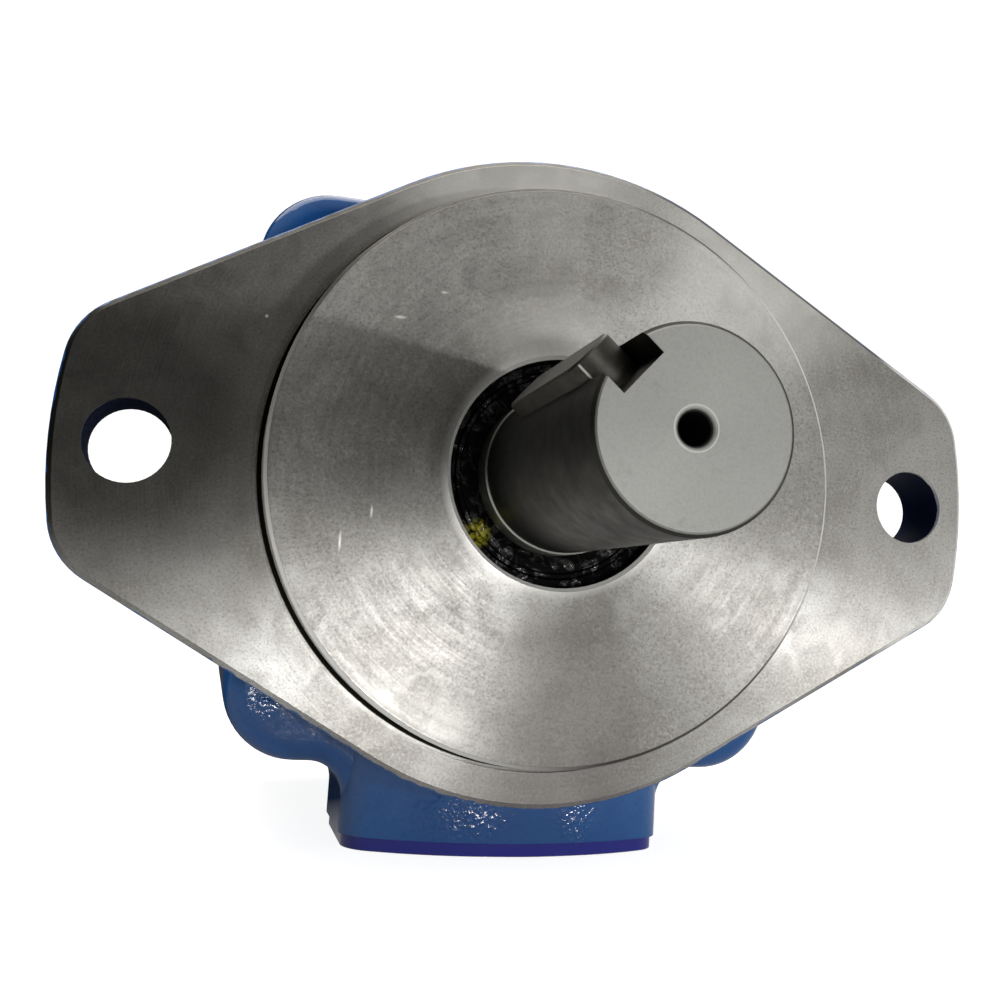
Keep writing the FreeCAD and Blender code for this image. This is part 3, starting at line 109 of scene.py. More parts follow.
class Finish(Nodes):
    """A material whose colour is laid on in layers. Patterns read the piece's own coordinates."""

    def __init__(self, name, colour):
        self.material = bpy.data.materials.new(name)
        self.material.use_nodes = True
        super().__init__(self.material.node_tree)
        self.colour = colour
        place = self.add("TexCoord", {}, "Object")
        self.place = self.add("VectorMath", {0: place, "Scale": 1 / MM}, operation="SCALE")
        self.x, self.y, self.z = [self.add("SeparateXYZ", {0: self.place}, axis) for axis in "XYZ"]
        across = self.add("CombineXYZ", {"X": self.x, "Z": self.z})
        self.radius = self.add("VectorMath", {0: across}, "Value", operation="LENGTH")
        self.spoke = self.add("VectorMath", {0: across}, operation="NORMALIZE")

    def all_of(self, first, *others):
        """Masks and amounts multiplied together."""
        for other in others:
            first = self.add("Math", {0: first, 1: other}, operation="MULTIPLY")
        return first

    def any_of(self, first, *others):
        """The greatest of some masks."""
        for other in others:
            first = self.add("Math", {0: first, 1: other}, operation="MAXIMUM")
        return first

    def zone(self, value, low=None, high=None, soft=0.05):
        """1 where a coordinate lies between low and high and 0 elsewhere, with soft edges."""
        edges = []
        if low is not None:
            edges.append(self.add("MapRange", {
                "Value": value, "From Min": low - soft, "From Max": low + soft}))
        if high is not None:
            edges.append(self.add("MapRange", {
                "Value": value, "From Min": high - soft, "From Max": high + soft,
                "To Min": 1.0, "To Max": 0.0}))
        return self.all_of(*edges)

    def near(self, x, y, reach):
        """1 within a distance of lines that stand upright at x and y, and of their mirror images."""
        across = self.add("Math", {0: self.add("Math", {0: self.x}, operation="ABSOLUTE"), 1: x},
                          operation="SUBTRACT")
        along = self.add("Math", {0: self.y, 1: y}, operation="SUBTRACT")
        away = self.add("VectorMath", {0: self.add("CombineXYZ", {"X": across, "Y": along})}, "Value",
                        operation="LENGTH")
        return self.zone(away, high=reach, soft=0.1)

    def fan(self, degrees, width):
        """1 along a direction from the shaft's axis, fading to 0 this many degrees to each side."""
        turn = math.radians(degrees)
        along = self.add("VectorMath", {0: self.spoke, 1: (math.cos(turn), 0.0, math.sin(turn))}, "Value",
                         operation="DOT_PRODUCT")
        edge = math.cos(math.radians(width))
        return self.add("MapRange", {"Value": along, "From Min": edge, "From Max": 1.0},
                        interpolation_type="SMOOTHSTEP")

    def lathe_rings(self, feed, seed=0.0, reach=None):
        """Fine rings round the shaft's axis, about a tool's feed apart."""
        reach = self.radius if reach is None else reach
        across = self.add("Math", {0: reach, 1: feed}, operation="DIVIDE")
        along = self.add("Math", {0: self.y, 1: feed}, operation="DIVIDE")
        place = self.add("CombineXYZ", {"X": across, "Y": seed, "Z": along})
        return self.add("TexNoise", {"Vector": place, "Scale": 1.0, "Detail": 2.0, "Roughness": 0.6})

    def across_rings(self):
        """Direction across lathe marks, along which a turned surface draws a highlight out."""
        back = self.add("Math", {0: self.x, 1: -1.0}, operation="MULTIPLY")
        marks = self.add("CombineXYZ", {"X": self.z, "Z": back})
        marks = self.add("VectorMath", {0: marks}, operation="NORMALIZE")
        turned = self.add("VectorTransform", {"Vector": marks}, vector_type="VECTOR",
                          convert_from="OBJECT", convert_to="WORLD")
        normal = self.add("NewGeometry", {}, "Normal")
        return self.add("VectorMath", {0: normal, 1: turned}, operation="CROSS_PRODUCT")

    def lay(self, colour, pattern, low=0.0, high=1.0, most=1.0):
        """Lay a colour over what is below where a pattern rises from low to high, at most this strongly."""
        amount = self.add("MapRange", {"Value": pattern, "From Min": low, "From Max": high, "To Max": most})
        self.colour = self.add("Mix", {0: amount, 6: self.colour, 7: colour}, 2, data_type="RGBA")

    def lay_painted_light_fan(self, colour, degrees, width, near, far, flange):
        """Lay a fan of painted light in a colour, pale for a highlight and dark for shade.
        near and far are a radius and a strength, and flange is its strength there.
        """
        pilot = self.add("MapRange", {
            "Value": self.radius, "From Min": near[0], "From Max": far[0],
            "To Min": near[1], "To Max": far[1]})
        on_flange = self.zone(self.radius, low=UNDERCUT_RADIUS + 0.1, soft=0.1)
        strength = self.add("Mix", {0: on_flange, 2: pilot, 3: flange})
        self.lay(colour, self.all_of(self.fan(degrees, width), strength))

    def relief(self, *layers):
        """Normal of a surface that patterns raise, each with the millimetres that it raises it by."""
        sockets = {}
        for height, millimetres in layers:
            sockets.update({"Height": height, "Distance": millimetres * MM})
            sockets["Normal"] = self.add("Bump", sockets)
        return sockets["Normal"]

    def finish(self, **inputs):
        """Close the material with the laid colour and these inputs, an underscore standing for a space."""
        sockets = {name.replace("_", " "): value for name, value in inputs.items()}
        surface = self.add("BsdfPrincipled", {"Base Color": self.colour, **sockets})
        self.add("OutputMaterial", {"Surface": surface})
        return self.material


# Castings: faced grey iron in front and on the joints, enamel everywhere else

# Painted highlights and painted shade laid on the faced iron's colour in fans, like those that lamps draw out
# of
# its rings: colour, direction and width in degrees, a near and a far radius on the pilot with the strength at
# each, and the strength on the flange
PAINTED_LIGHT_FANS = [("e6e3dd", 97.0, 13.0, (30.0, 0.0), (42.0, 0.15), 0.15),
        ("6f6a69", 273.0, 25.0, (26.0, 0.0), (34.0, 0.5), 0.5),
        ("eceae4", 102.0, 33.0, (33.0, 0.48), (44.0, 0.0), 0.6),
        ("ecebe5", 48.0, 26.0, (36.0, 0.0), (62.0, 0.5), 0.5),
        ("4c4a46", 166.0, 56.0, (45.0, 0.36), (61.0, 0.06), 0.62),
        ("5c5a56", 212.0, 26.0, (30.0, 0.38), (42.0, 0.0), 0.0),
        ("f2f0ea", 240.0, 17.0, (50.0, 0.0), (60.0, 0.26), 0.0),
        ("6f6a69", 358.0, 24.0, (38.0, 0.22), (54.0, 0.0), 0.0)]

# Bright nicks in the faced iron: x, z, half the width and half the height
NICKS = [(-65.0, 29.0, 0.5, 0.5), (-41.0, -11.5, 0.35, 1.6), (-47.0, -18.0, 0.35, 2.4),
         (-38.0, 30.0, 1.6, 0.45), (-29.0, 36.5, 0.9, 0.4)]

# Spots where the mould's sand stands up through the enamel and glints: x, z, half the width and the height
SANDY_SPOTS = [(-14.0, -78.0, 18.0, 6.5), (16.0, -78.5, 8.5, 7.5), (-57.5, -53.5, 4.5, 5.5)]


def spot(casting, x, z, half_width, half_height, inner=0.3):
    """1 in an upright spot on the casting's front, fading to 0 at its edge."""
    away = casting.add("VectorMath", {0: casting.place, 1: (x, 0.0, z)}, operation="SUBTRACT")
    away = casting.add("VectorMath", {0: away, 1: (1 / half_width, 0.0, 1 / half_height)},
                       operation="MULTIPLY")
    away = casting.add("VectorMath", {0: away}, "Value", operation="LENGTH")
    return casting.add("MapRange", {
        "Value": away, "From Min": inner, "From Max": 1.0, "To Min": 1.0, "To Max": 0.0})


def faced_iron(casting):
    """Grey cast iron faced on a lathe, with clouds and flecks from oil and handling. Painted on it are
    highlights and shade in the fans that its rings draw out of the lamps, painted shade on the left of the
    flange, in the undercut and in the seal's bore, and a painted glow round the bore's mouth. The grain,
    really about 0.1 mm, is drawn
    0.55 mm wide and the tool's feed 0.42 mm, so that they show. Gives its roughness and height."""
    clouds = casting.add("TexNoise", {
        "Vector": casting.place, "Scale": 1 / 30, "Detail": 3.0, "Roughness": 0.5, "Distortion": 0.6})
    patches = casting.add("TexNoise", {
        "Vector": casting.place, "Scale": 1 / 9, "Detail": 4.0, "Roughness": 0.6, "Distortion": 0.8})
    grain = casting.add("TexNoise", {
        "Vector": casting.place, "Scale": 1 / 0.55, "Detail": 2.0, "Roughness": 0.6})
    flecks = casting.add("TexNoise", {
        "Vector": casting.place, "Scale": 1 / 0.75, "Detail": 2.0, "Roughness": 0.6})
    fine = casting.lathe_rings(0.42)
    coarse = casting.lathe_rings(2.1, 7.3)
    casting.colour = "918e89"
    casting.lay("b8b7b3", clouds, 0.35, 0.68)
    casting.lay("8b867f", patches, 0.5, 0.75, 0.4)
    casting.lay("cccbc8", coarse, 0.35, 0.75, 0.16)
    in_patches = casting.add("MapRange", {
        "Value": patches, "From Min": 0.35, "From Max": 0.65, "To Min": 0.1, "To Max": 0.5})
    casting.lay("d2d1ce", casting.all_of(casting.add("MapRange", {
        "Value": flecks, "From Min": 0.45, "From Max": 0.75}), in_patches))
    casting.lay("64625e", grain, 0.48, 0.72, 0.5)
    # Painted highlights and painted shade in fans across the faced iron
    for fan in PAINTED_LIGHT_FANS:
        casting.lay_painted_light_fan(*fan)
    # Painted shade: a dark patch on the left of the flange, for the dark room that the faced iron reflects
    # there
    casting.lay("272724", spot(casting, -92.0, 4.0, 36.0, 36.0, inner=0.52), most=0.66)
    # Painted shade: the undercut round the pilot drawn near black
    undercut_shade = casting.all_of(casting.zone(casting.radius, PILOT_RADIUS - 0.05, 64.5, 0.1),
                          casting.zone(casting.y, low=0.15, soft=0.1))
    casting.lay("161510", undercut_shade)
    # Painted shade: the wall of the seal's bore drawn black
    casting.lay("0b0b0a", casting.zone(casting.radius, high=SEAL_BORE_RADIUS + 0.12))
    # Painted highlight: a pale glow round the bore's mouth
    glare = casting.add("MapRange", {
        "Value": casting.radius, "From Min": 25.8, "From Max": 27.6, "To Min": 0.65, "To Max": 0.0})
    casting.lay("dcdad6", casting.all_of(glare, casting.zone(casting.radius, low=SEAL_BORE_RADIUS + 0.12)))
    for nick in NICKS:
        casting.lay("f2f0ea", spot(casting, *nick), most=0.8)
    rough = casting.add("MapRange", {
        "Value": patches, "From Min": 0.3, "From Max": 0.75, "To Min": 0.32, "To Max": 0.43})
    uneven = casting.add("MapRange", {
        "Value": fine, "From Min": 0.3, "From Max": 0.7, "To Min": -0.03, "To Max": 0.05})
    rough = casting.add("Math", {0: rough, 1: uneven}, operation="ADD")
    height = casting.add("Math", {0: coarse, 1: 0.8, 2: fine}, operation="MULTIPLY_ADD")
    height = casting.add("Math", {0: grain, 1: 0.6, 2: height}, operation="MULTIPLY_ADD")
    return rough, height


def paint_light_on_chamfers(casting):
    """Paint light and shade on the chamfers: near-white highlights where lamps would catch them, and dark
    shade on the pilot's edge and the flange's upper edge. Gives where the highlights are painted.
    """
    front = casting.zone(casting.y, PILOT_TOP + 0.04, -8.72, 0.03)
    bore_edge = casting.all_of(front, casting.zone(casting.radius, high=26.0, soft=0.1))
    pilot_edge = casting.all_of(front, casting.zone(casting.radius, low=62.0, soft=0.1))
    flange_edge = casting.all_of(casting.zone(casting.y, low=0.06, soft=0.03),
                                 casting.zone(casting.radius, low=66.5, soft=0.2))
    pilot_wall = casting.all_of(casting.zone(casting.y, PILOT_TOP + 0.06, 0.1, 0.03),
                                casting.fan(215.0, 70.0),
                                casting.zone(casting.radius, 62.3, PILOT_RADIUS + 0.2, 0.1))
    bright = casting.any_of(bore_edge, pilot_wall, casting.all_of(pilot_edge, casting.fan(8.0, 52.0)),
                            casting.all_of(flange_edge, casting.zone(casting.x, low=84.0, soft=3.0), 0.8))
    upper_edge = casting.all_of(flange_edge, casting.zone(casting.z, low=-12.0, soft=14.0))
    rest = casting.add("Math", {0: 0.8, 1: bright}, operation="SUBTRACT", use_clamp=True)
    # Painted shade: the pilot's edge away from the lamps and the flange's upper edge drawn dark
    casting.lay("34322f", casting.all_of(casting.any_of(pilot_edge, upper_edge), rest))
    # Painted highlight: near white on the bore's edge, the pilot's lower-left wall, the pilot's right edge
    # and the flange's right end
    casting.lay("fbfaf6", bright)
    return bright


def enamel(casting, machined_step):
    """Two-pack enamel sprayed thickly on a sand casting: a level gloss over the mould's low lumps, 7 mm wide.
    Its sand, drawn 1 mm wide, is mostly levelled out, and in a few spots breaks a lamp up into small glints.
    Gives its roughness and normal."""
    tone = casting.add("TexNoise", {
        "Vector": casting.place, "Scale": 1 / 28, "Detail": 3.0, "Roughness": 0.5})
    sand = casting.add("TexNoise", {
        "Vector": casting.place, "Scale": 1.0, "Detail": 1.5, "Roughness": 0.5})
    lumps = casting.add("TexNoise", {
        "Vector": casting.place, "Scale": 1 / 7, "Detail": 1.0, "Roughness": 0.5, "Distortion": 0.3})
    casting.colour = "195497"
    casting.lay("246ab2", tone, 0.3, 0.7)
    casting.lay("124080", sand, 0.55, 0.8, 0.4)
    casting.lay("1c2496", machined_step)
    from_joint = casting.add("Math", {0: casting.y, 1: JOINT}, operation="SUBTRACT")
    from_joint = casting.add("Math", {0: from_joint}, operation="ABSOLUTE")
    casting.lay("0a1c38", casting.zone(from_joint, high=0.16, soft=0.06))
    rough = casting.add("MapRange", {
        "Value": sand, "From Min": 0.3, "From Max": 0.75, "To Min": 0.07, "To Max": 0.14})
    sandy = casting.any_of(0.1, *[spot(casting, *place) for place in SANDY_SPOTS])
    return rough, casting.relief((lumps, 0.17), (casting.all_of(sand, sandy), 0.2))


def painted_casting(name, bare_places, stepped_places):
    """A casting that is enamelled all over but for its machined faces."""
    casting = Finish(name, "195497")
    bare = bare_places(casting)
    paint_rough, paint_normal = enamel(casting, stepped_places(casting))
    from_bolt = casting.add("Math", {0: casting.x}, operation="ABSOLUTE")
    from_bolt = casting.add("Math", {0: from_bolt, 1: BOLT_PLACE}, operation="SUBTRACT")
    from_bolt = casting.add("CombineXYZ", {"X": from_bolt, "Z": casting.z})
    from_bolt = casting.add("VectorMath", {0: from_bolt}, "Value", operation="LENGTH")
    # Painted shade: the enamel in the bolt holes drawn near-black navy, and with little reflection
    in_bolt_hole = casting.zone(from_bolt, high=8.95)
    casting.lay("0c1734", in_bolt_hole)
    paint = casting.colour
    iron_rough, iron_height = faced_iron(casting)
    chamfer_highlight = paint_light_on_chamfers(casting)
    casting.colour = casting.add("Mix", {0: bare, 6: paint, 7: casting.colour}, 2, data_type="RGBA")
    paint_rough = casting.add("Mix", {0: in_bolt_hole, 2: paint_rough, 3: 0.7})
    return casting.finish(
        Metallic=casting.all_of(bare, casting.add("Mix", {0: chamfer_highlight, 2: 1.0, 3: 0.5})),
        Roughness=casting.add("Mix", {0: bare, 2: paint_rough, 3: iron_rough}),
        Normal=casting.add("Mix", {0: bare, 4: paint_normal, 5: casting.relief((iron_height, 0.012))}, 1,
                           data_type="VECTOR"),
        Specular_IOR_Level=casting.add("Mix", {0: in_bolt_hole, 2: 0.5, 3: 0.06}),
        Anisotropic=casting.all_of(bare, 0.76),
        Tangent=casting.across_rings(),
    )


def port_holes(casting, port):
    """Where a port's bore and its four tapped holes are cut bare into the iron."""
    tapped = [casting.near(port.aside, port.place + side * port.along, port.hole) for side in (-1, 1)]
    return casting.any_of(casting.near(0.0, port.place, port.bore), *tapped)


def cap_bare(cap):
    """The flange's front with a wandering paint edge, the undercut, the joint, the bores and the port."""
    wander = cap.add("TexNoise", {"Vector": cap.place, "Scale": 1 / 3, "Detail": 2.0, "Roughness": 0.5})
    wander = cap.add("MapRange", {
        "Value": wander, "From Min": 0.3, "From Max": 0.7, "To Min": 0.75, "To Max": 1.25})
    front = cap.zone(cap.add("Math", {0: cap.y, 1: wander}, operation="SUBTRACT"), high=0.0, soft=0.12)
    undercut = cap.all_of(cap.zone(cap.radius, high=UNDERCUT_RADIUS + 0.5, soft=0.1),
                          cap.zone(cap.y, high=3.0, soft=0.1))
    port_face = cap.any_of(cap.zone(cap.z, high=PRESSURE_FACE + 0.1), cap.all_of(
        port_holes(cap, PRESSURE_PORT), cap.zone(cap.z, high=PRESSURE_FACE + PORT_DEPTH)))
    joint = cap.zone(cap.y, low=JOINT - 0.02, soft=0.01)
    bores = cap.all_of(cap.zone(cap.y, low=3.0, soft=0.1), cap.zone(cap.radius, high=56.5, soft=0.1))
    return cap.any_of(front, undercut, port_face, joint, bores)


def housing_bare(housing):
    """The suction port's face, the joint and the bore of the cartridge."""
    port_face = housing.any_of(housing.zone(housing.z, low=SUCTION_FACE - 0.1), housing.all_of(
        port_holes(housing, SUCTION_PORT), housing.zone(housing.z, low=SUCTION_FACE - PORT_DEPTH)))
    joint = housing.zone(housing.y, high=JOINT + 0.02, soft=0.01)
    bore = housing.all_of(housing.zone(housing.radius, high=58.4, soft=0.1),
                          housing.zone(housing.y, high=154.0, soft=0.1))
    return housing.any_of(port_face, joint, bore)


def cap_step(cap):
    """The machined step round the pressure port's face, where the enamel lies thin over blue primer."""
    return cap.zone(cap.z, high=PRESSURE_FACE + FACE_STEP, soft=0.15)


def housing_step(housing):
    """The same step round the suction port's face."""
    return housing.zone(housing.z, low=SUCTION_FACE - FACE_STEP, soft=0.15)


# Steels

def turned(steel, dark, light, rough, feed, reach=None):
    """Lay on lathe rings, clouds of oil and small stains. Gives roughness, height, grain and stains."""
    rings = steel.lathe_rings(feed, 3.1, reach)
    clouds = steel.add("TexNoise", {
        "Vector": steel.place, "Scale": 1 / 16, "Detail": 3.0, "Roughness": 0.55, "Distortion": 0.5})
    stains = steel.add("TexNoise", {
        "Vector": steel.place, "Scale": 1 / 4.5, "Detail": 4.0, "Roughness": 0.65})
    grain = steel.add("TexNoise", {"Vector": steel.place, "Scale": 1 / 0.5, "Detail": 2.0, "Roughness": 0.6})
    steel.lay(light, clouds, 0.32, 0.7)
    steel.lay(light, rings, 0.4, 0.75, 0.2)
    steel.lay(dark, stains, 0.58, 0.76, 0.4)
    gloss = steel.add("MapRange", {
        "Value": stains, "From Min": 0.3, "From Max": 0.7, "To Min": rough - 0.05, "To Max": rough + 0.08})
    height = steel.add("Math", {0: grain, 1: 0.5, 2: rings}, operation="MULTIPLY_ADD")
    return gloss, height, grain, stains


def turned_steel(name, dark, light, rough, feed=0.5, grip=0.55):
    """Steel turned or ground round the shaft's axis. grip says how far its rings draw a highlight out."""
    steel = Finish(name, dark)
    gloss, height, _, _ = turned(steel, dark, light, rough, feed)
    return steel.finish(Metallic=1.0, Roughness=gloss, Normal=steel.relief((height, 0.006)), Anisotropic=grip,
                        Tangent=steel.across_rings())


def keyed_shaft():
    """Turned and hardened shaft, oiled. Its steel is drawn dark, partly for its scale and partly as painted
    shade for the dark room that it reflects; its end is faced bright with a centre hole, and the journal
    inside the seal is ground."""
    steel = Finish("turned_shaft_steel", "323230")
    near_axis = steel.zone(steel.radius, high=3.9, soft=0.1)
    cone = steel.all_of(near_axis, steel.zone(steel.y, high=SHAFT_END + 0.85, soft=0.1))
    faced = steel.any_of(steel.zone(steel.y, high=SHAFT_END + 0.3, soft=0.08), cone)
    reach = steel.all_of(steel.radius, faced)
    gloss, height, grain, stains = turned(steel, "323230", "3f3f3c", 0.4, 0.5, reach)
    journal = steel.zone(steel.y, low=-10.6)
    steel.lay("b4b4ae", journal)
    # Painted shade: the ground journal darkened in a fan on the left, away from its highlight
    steel.lay("4a4a47", steel.all_of(journal, steel.fan(158.0, 52.0)), most=0.8)
    steel.lay("3a3a37", steel.zone(steel.y, high=SHAFT_END + 0.95, soft=0.03))
    steel.lay("9a9a96", near_axis)
    steel.lay("9e9e9b", faced)
    spotting = [("7e7e7a", grain, 0.4, 0.75, 0.25), ("6c6c68", stains, 0.6, 0.78, 0.4)]
    for colour, pattern, low, high, most in spotting:
        spots = steel.add("MapRange", {"Value": pattern, "From Min": low, "From Max": high, "To Max": most})
        steel.lay(colour, steel.all_of(faced, spots))
    # Painted light: the centre hole's countersink drawn paler than the faced end, against the dark it
    # reflects
    steel.lay("c9c9c5", cone)
    # Painted shade: the inside of the centre hole drawn near black
    steel.lay("191918", steel.all_of(steel.zone(steel.radius, high=3.25, soft=0.25),
                                     steel.zone(steel.y, low=SHAFT_END + 0.2, soft=0.1)))
    return steel.finish(
        Metallic=steel.add("Mix", {0: near_axis, 2: 1.0, 3: 0.5}),
        Roughness=steel.add("Mix", {0: faced, 2: gloss, 3: 0.55}),
        Normal=steel.relief((height, 0.006)), Anisotropic=0.3, Tangent=steel.across_rings())


def drawn_key():
    """Cold-drawn key steel, its marks along the shaft, dark with oil and with one thin painted glint in
    front.
    """
    steel = Finish("drawn_key_steel", "3f3e3a")
    along = steel.add("VectorMath", {0: steel.place, 1: (3.0, 0.12, 3.0)}, operation="MULTIPLY")
    marks = steel.add("TexNoise", {"Vector": along, "Scale": 1.0, "Detail": 3.0, "Roughness": 0.6})
    clouds = steel.add("TexNoise", {
        "Vector": steel.place, "Scale": 1 / 8, "Detail": 3.0, "Roughness": 0.6, "Distortion": 0.8})
    steel.lay("5a5955", clouds, 0.35, 0.7)
    steel.lay("666560", marks, 0.5, 0.75, 0.3)
    lean_x, lean_z = math.sin(KEY_LEAN), math.cos(KEY_LEAN)
    up, side = [
        steel.add("VectorMath", {0: steel.place, 1: way}, "Value", operation="DOT_PRODUCT")
        for way in ((-lean_x, 0.0, lean_z), (-lean_z, 0.0, -lean_x))]
    # Painted highlight: a thin pale line on the key's round end, where a lamp glints
    steel.lay("d2d2ce", steel.all_of(steel.zone(steel.y, -75.3, -75.0, 0.08), steel.zone(up, 16.4, 19.6, 0.2),
                                     steel.zone(side, low=0.5, soft=0.2)))
    rough = steel.add("MapRange", {
        "Value": clouds, "From Min": 0.3, "From Max": 0.7, "To Min": 0.46, "To Max": 0.56})
    return steel.finish(Metallic=1.0, Roughness=rough, Normal=steel.relief((marks, 0.004)))


def plain_steel(name, dark, light, rough):
    """Pressed, phosphated or oxidised steel, with clouds of oil and fine grain but no lathe marks."""
    steel = Finish(name, dark)
    clouds = steel.add("TexNoise", {
        "Vector": steel.place, "Scale": 1 / 9, "Detail": 4.0, "Roughness": 0.6, "Distortion": 0.5})
    grain = steel.add("TexNoise", {"Vector": steel.place, "Scale": 1 / 0.35, "Detail": 3.0, "Roughness": 0.6})
    steel.lay(light, clouds, 0.3, 0.72)
    steel.lay(dark, grain, 0.58, 0.8, 0.4)
    gloss = steel.add("MapRange", {
        "Value": clouds, "From Min": 0.3, "From Max": 0.7, "To Min": rough - 0.07, "To Max": rough + 0.09})
    return steel.finish(Metallic=1.0, Roughness=gloss, Normal=steel.relief((grain, 0.012)))


KNURL_TEETH = 44


def knurled_screws():
    """Black-oxide cap screws. Each head is knurled all round, as coarsely as an M12 head's knurl is."""
    steel = Finish("black_oxide_screws", "1c1c1f")
    across, up = [
        steel.add("Math", {0: steel.add("Math", {0: value}, operation="ABSOLUTE"), 1: SCREW_PLACE},
                  operation="SUBTRACT") for value in (steel.x, steel.z)]
    turn = steel.add("Math", {0: up, 1: across}, operation="ARCTAN2")
    turn = steel.add("Math", {0: turn, 1: KNURL_TEETH}, operation="MULTIPLY")
    slants = []
    for slope in (4.0, -4.0):
        slant = steel.add("Math", {0: steel.y, 1: slope, 2: turn}, operation="MULTIPLY_ADD")
        slants.append(steel.add("Math", {0: slant}, operation="SINE"))
    reach = steel.add("VectorMath", {0: steel.add("CombineXYZ", {"X": across, "Y": up})}, "Value",
                      operation="LENGTH")
    on_head = steel.all_of(steel.zone(steel.y, low=SCREW_HEADS, soft=0.2), steel.zone(reach, low=8.9))
    knurl = steel.all_of(steel.any_of(*slants), on_head)
    clouds = steel.add("TexNoise", {"Vector": steel.place, "Scale": 1 / 5, "Detail": 3.0, "Roughness": 0.6})
    steel.lay("34353a", clouds, 0.35, 0.7)
    rough = steel.add("MapRange", {
        "Value": clouds, "From Min": 0.3, "From Max": 0.7, "To Min": 0.3, "To Max": 0.45})
    return steel.finish(Metallic=0.85, Roughness=rough, Normal=steel.relief((knurl, 0.22)))


# Rubber, bronze and polymer

def oily_rubber():
    """Moulded nitrile rubber, matt black, wet with oil that glints in small beads, and with yellow grease
    worked up at one place on the left."""
    rubber = Finish("oily_seal_rubber", "040404")
    film = rubber.add("TexNoise", {
        "Vector": rubber.place, "Scale": 1 / 3.2, "Detail": 3.0, "Roughness": 0.6, "Distortion": 1.0})
    beads, lumps = [
        rubber.add("TexNoise", {"Vector": rubber.place, "Scale": scale, "Detail": detail, "Roughness": 0.6})
        for scale, detail in ((1 / 0.9, 2.0), (1 / 1.1, 3.0))]
    rubber.lay("0b0b0b", film, 0.45, 0.7)
    from_grease = rubber.add("VectorMath", {0: rubber.place, 1: (-17.3, -3.0, -14.2)}, "Value",
                             operation="DISTANCE")
    grease = rubber.add("MapRange", {
        "Value": from_grease, "From Min": 1.0, "From Max": 3.6, "To Min": 1.0, "To Max": 0.0})
    lumpy = rubber.add("MapRange", {"Value": lumps, "From Min": 0.4, "From Max": 0.56})
    rubber.lay("c4bc34", rubber.all_of(grease, lumpy))
    wet = rubber.add("MapRange", {"Value": film, "From Min": 0.5, "From Max": 0.66})
    return rubber.finish(
        Roughness=rubber.add("Mix", {0: wet, 2: 0.55, 3: 0.06}),
        Specular_IOR_Level=rubber.add("Mix", {0: wet, 2: 0.05, 3: 0.6}),
        Normal=rubber.relief((film, 0.4), (beads, 0.16)))


def turned_bronze(name, dark, light, rough=0.3):
    """Leaded bronze, turned: a warm metal with fine bright rings and brown clouds."""
    bronze = Finish(name, dark)
    rings = bronze.lathe_rings(0.35, 5.7)
    clouds = bronze.add("TexNoise", {
        "Vector": bronze.place, "Scale": 1 / 14, "Detail": 4.0, "Roughness": 0.6, "Distortion": 0.7})
    bronze.lay(light, clouds, 0.3, 0.7)
    bronze.lay(light, rings, 0.45, 0.75, 0.4)
    gloss = bronze.add("MapRange", {
        "Value": clouds, "From Min": 0.3, "From Max": 0.7, "To Min": rough - 0.05, "To Max": rough + 0.12})
    return bronze.finish(Metallic=1.0, Roughness=gloss, Normal=bronze.relief((rings, 0.008)), Anisotropic=0.5,
                         Tangent=bronze.across_rings())


def pale_polymer():
    """Unfilled backup-ring polymer: milky, a little translucent and softly shiny."""
    polymer = Finish("pale_backup_polymer", "d8d4c6")
    clouds, grain = [
        polymer.add("TexNoise", {"Vector": polymer.place, "Scale": scale, "Detail": detail, "Roughness": 0.6})
        for scale, detail in ((1 / 6, 3.0), (1 / 0.6, 2.0))]
    polymer.lay("ece9de", clouds, 0.3, 0.7)
    rough = polymer.add("MapRange", {
        "Value": clouds, "From Min": 0.3, "From Max": 0.7, "To Min": 0.38, "To Max": 0.52})
    return polymer.finish(Roughness=rough, Subsurface_Weight=0.15, Subsurface_Radius=(0.002, 0.0015, 0.001),
                          Normal=polymer.relief((grain, 0.02)))


bearing_steel = turned_steel("ground_bearing_steel", "a6a6a8", "cfcfd0", rough=0.2, feed=0.3)
ground_steel = turned_steel("ground_cartridge_steel", "7d7d7c", "a9a9a6", rough=0.3, feed=0.3)
pressed_steel = plain_steel("pressed_sheet_steel", "6a6a68", "9a9a97", rough=0.36)
spring_steel = plain_steel("phosphated_spring_steel", "26262a", "45454a", rough=0.42)
black_screws = plain_steel("black_oxide_steel", "1c1c1f", "34353a", rough=0.36)
rubber = oily_rubber()
bronze = turned_bronze("turned_bronze", "7d5a2e", "b98f52")

FINISHES = {
    "mounting_cap": painted_casting("enamelled_front_casting", cap_bare, cap_step),
    "rear_housing": painted_casting("enamelled_rear_casting", housing_bare, housing_step),
    "drive_shaft": keyed_shaft(),
    "shaft_key": drawn_key(),
    "shaft_seal_case": pressed_steel,
    "shaft_seal_lip": rubber,
    "seal_garter_spring": spring_steel,
    "housing_screws": knurled_screws(),
    "housing_oring": rubber,
    "bearing_outer_ring": bearing_steel,
    "bearing_inner_ring": bearing_steel,
    "bearing_balls": bearing_steel,
    "bearing_cage": pressed_steel,
    "bearing_retaining_ring": spring_steel,
    "shaft_retaining_ring": spring_steel,
    "pressure_plate": bronze,
    "suction_plate": bronze,
    "rear_bush": turned_bronze("bored_bush_bronze", "6d4526", "a06f3e", 0.34),
    "plate_hub_oring": rubber,
    "plate_rim_oring": rubber,
    "plate_backup_ring": pale_polymer(),
    "cam_ring": ground_steel,
    "rotor": ground_steel,
    "vanes": bearing_steel,
    "vane_pins": bearing_steel,
    "cartridge_dowels": bearing_steel,
    "cartridge_screws": black_screws,
}
for name, material in FINISHES.items():
    data = NODES[name].data
    for index in range(len(data.materials)):
        data.materials[index] = material
    if not data.materials:
        data.materials.append(material)


# Threads in the tapped holes of the two ports

STEPS_A_TURN = 28
RIDGE_HEIGHT = 0.4
RIDGE_ROOT = 0.02
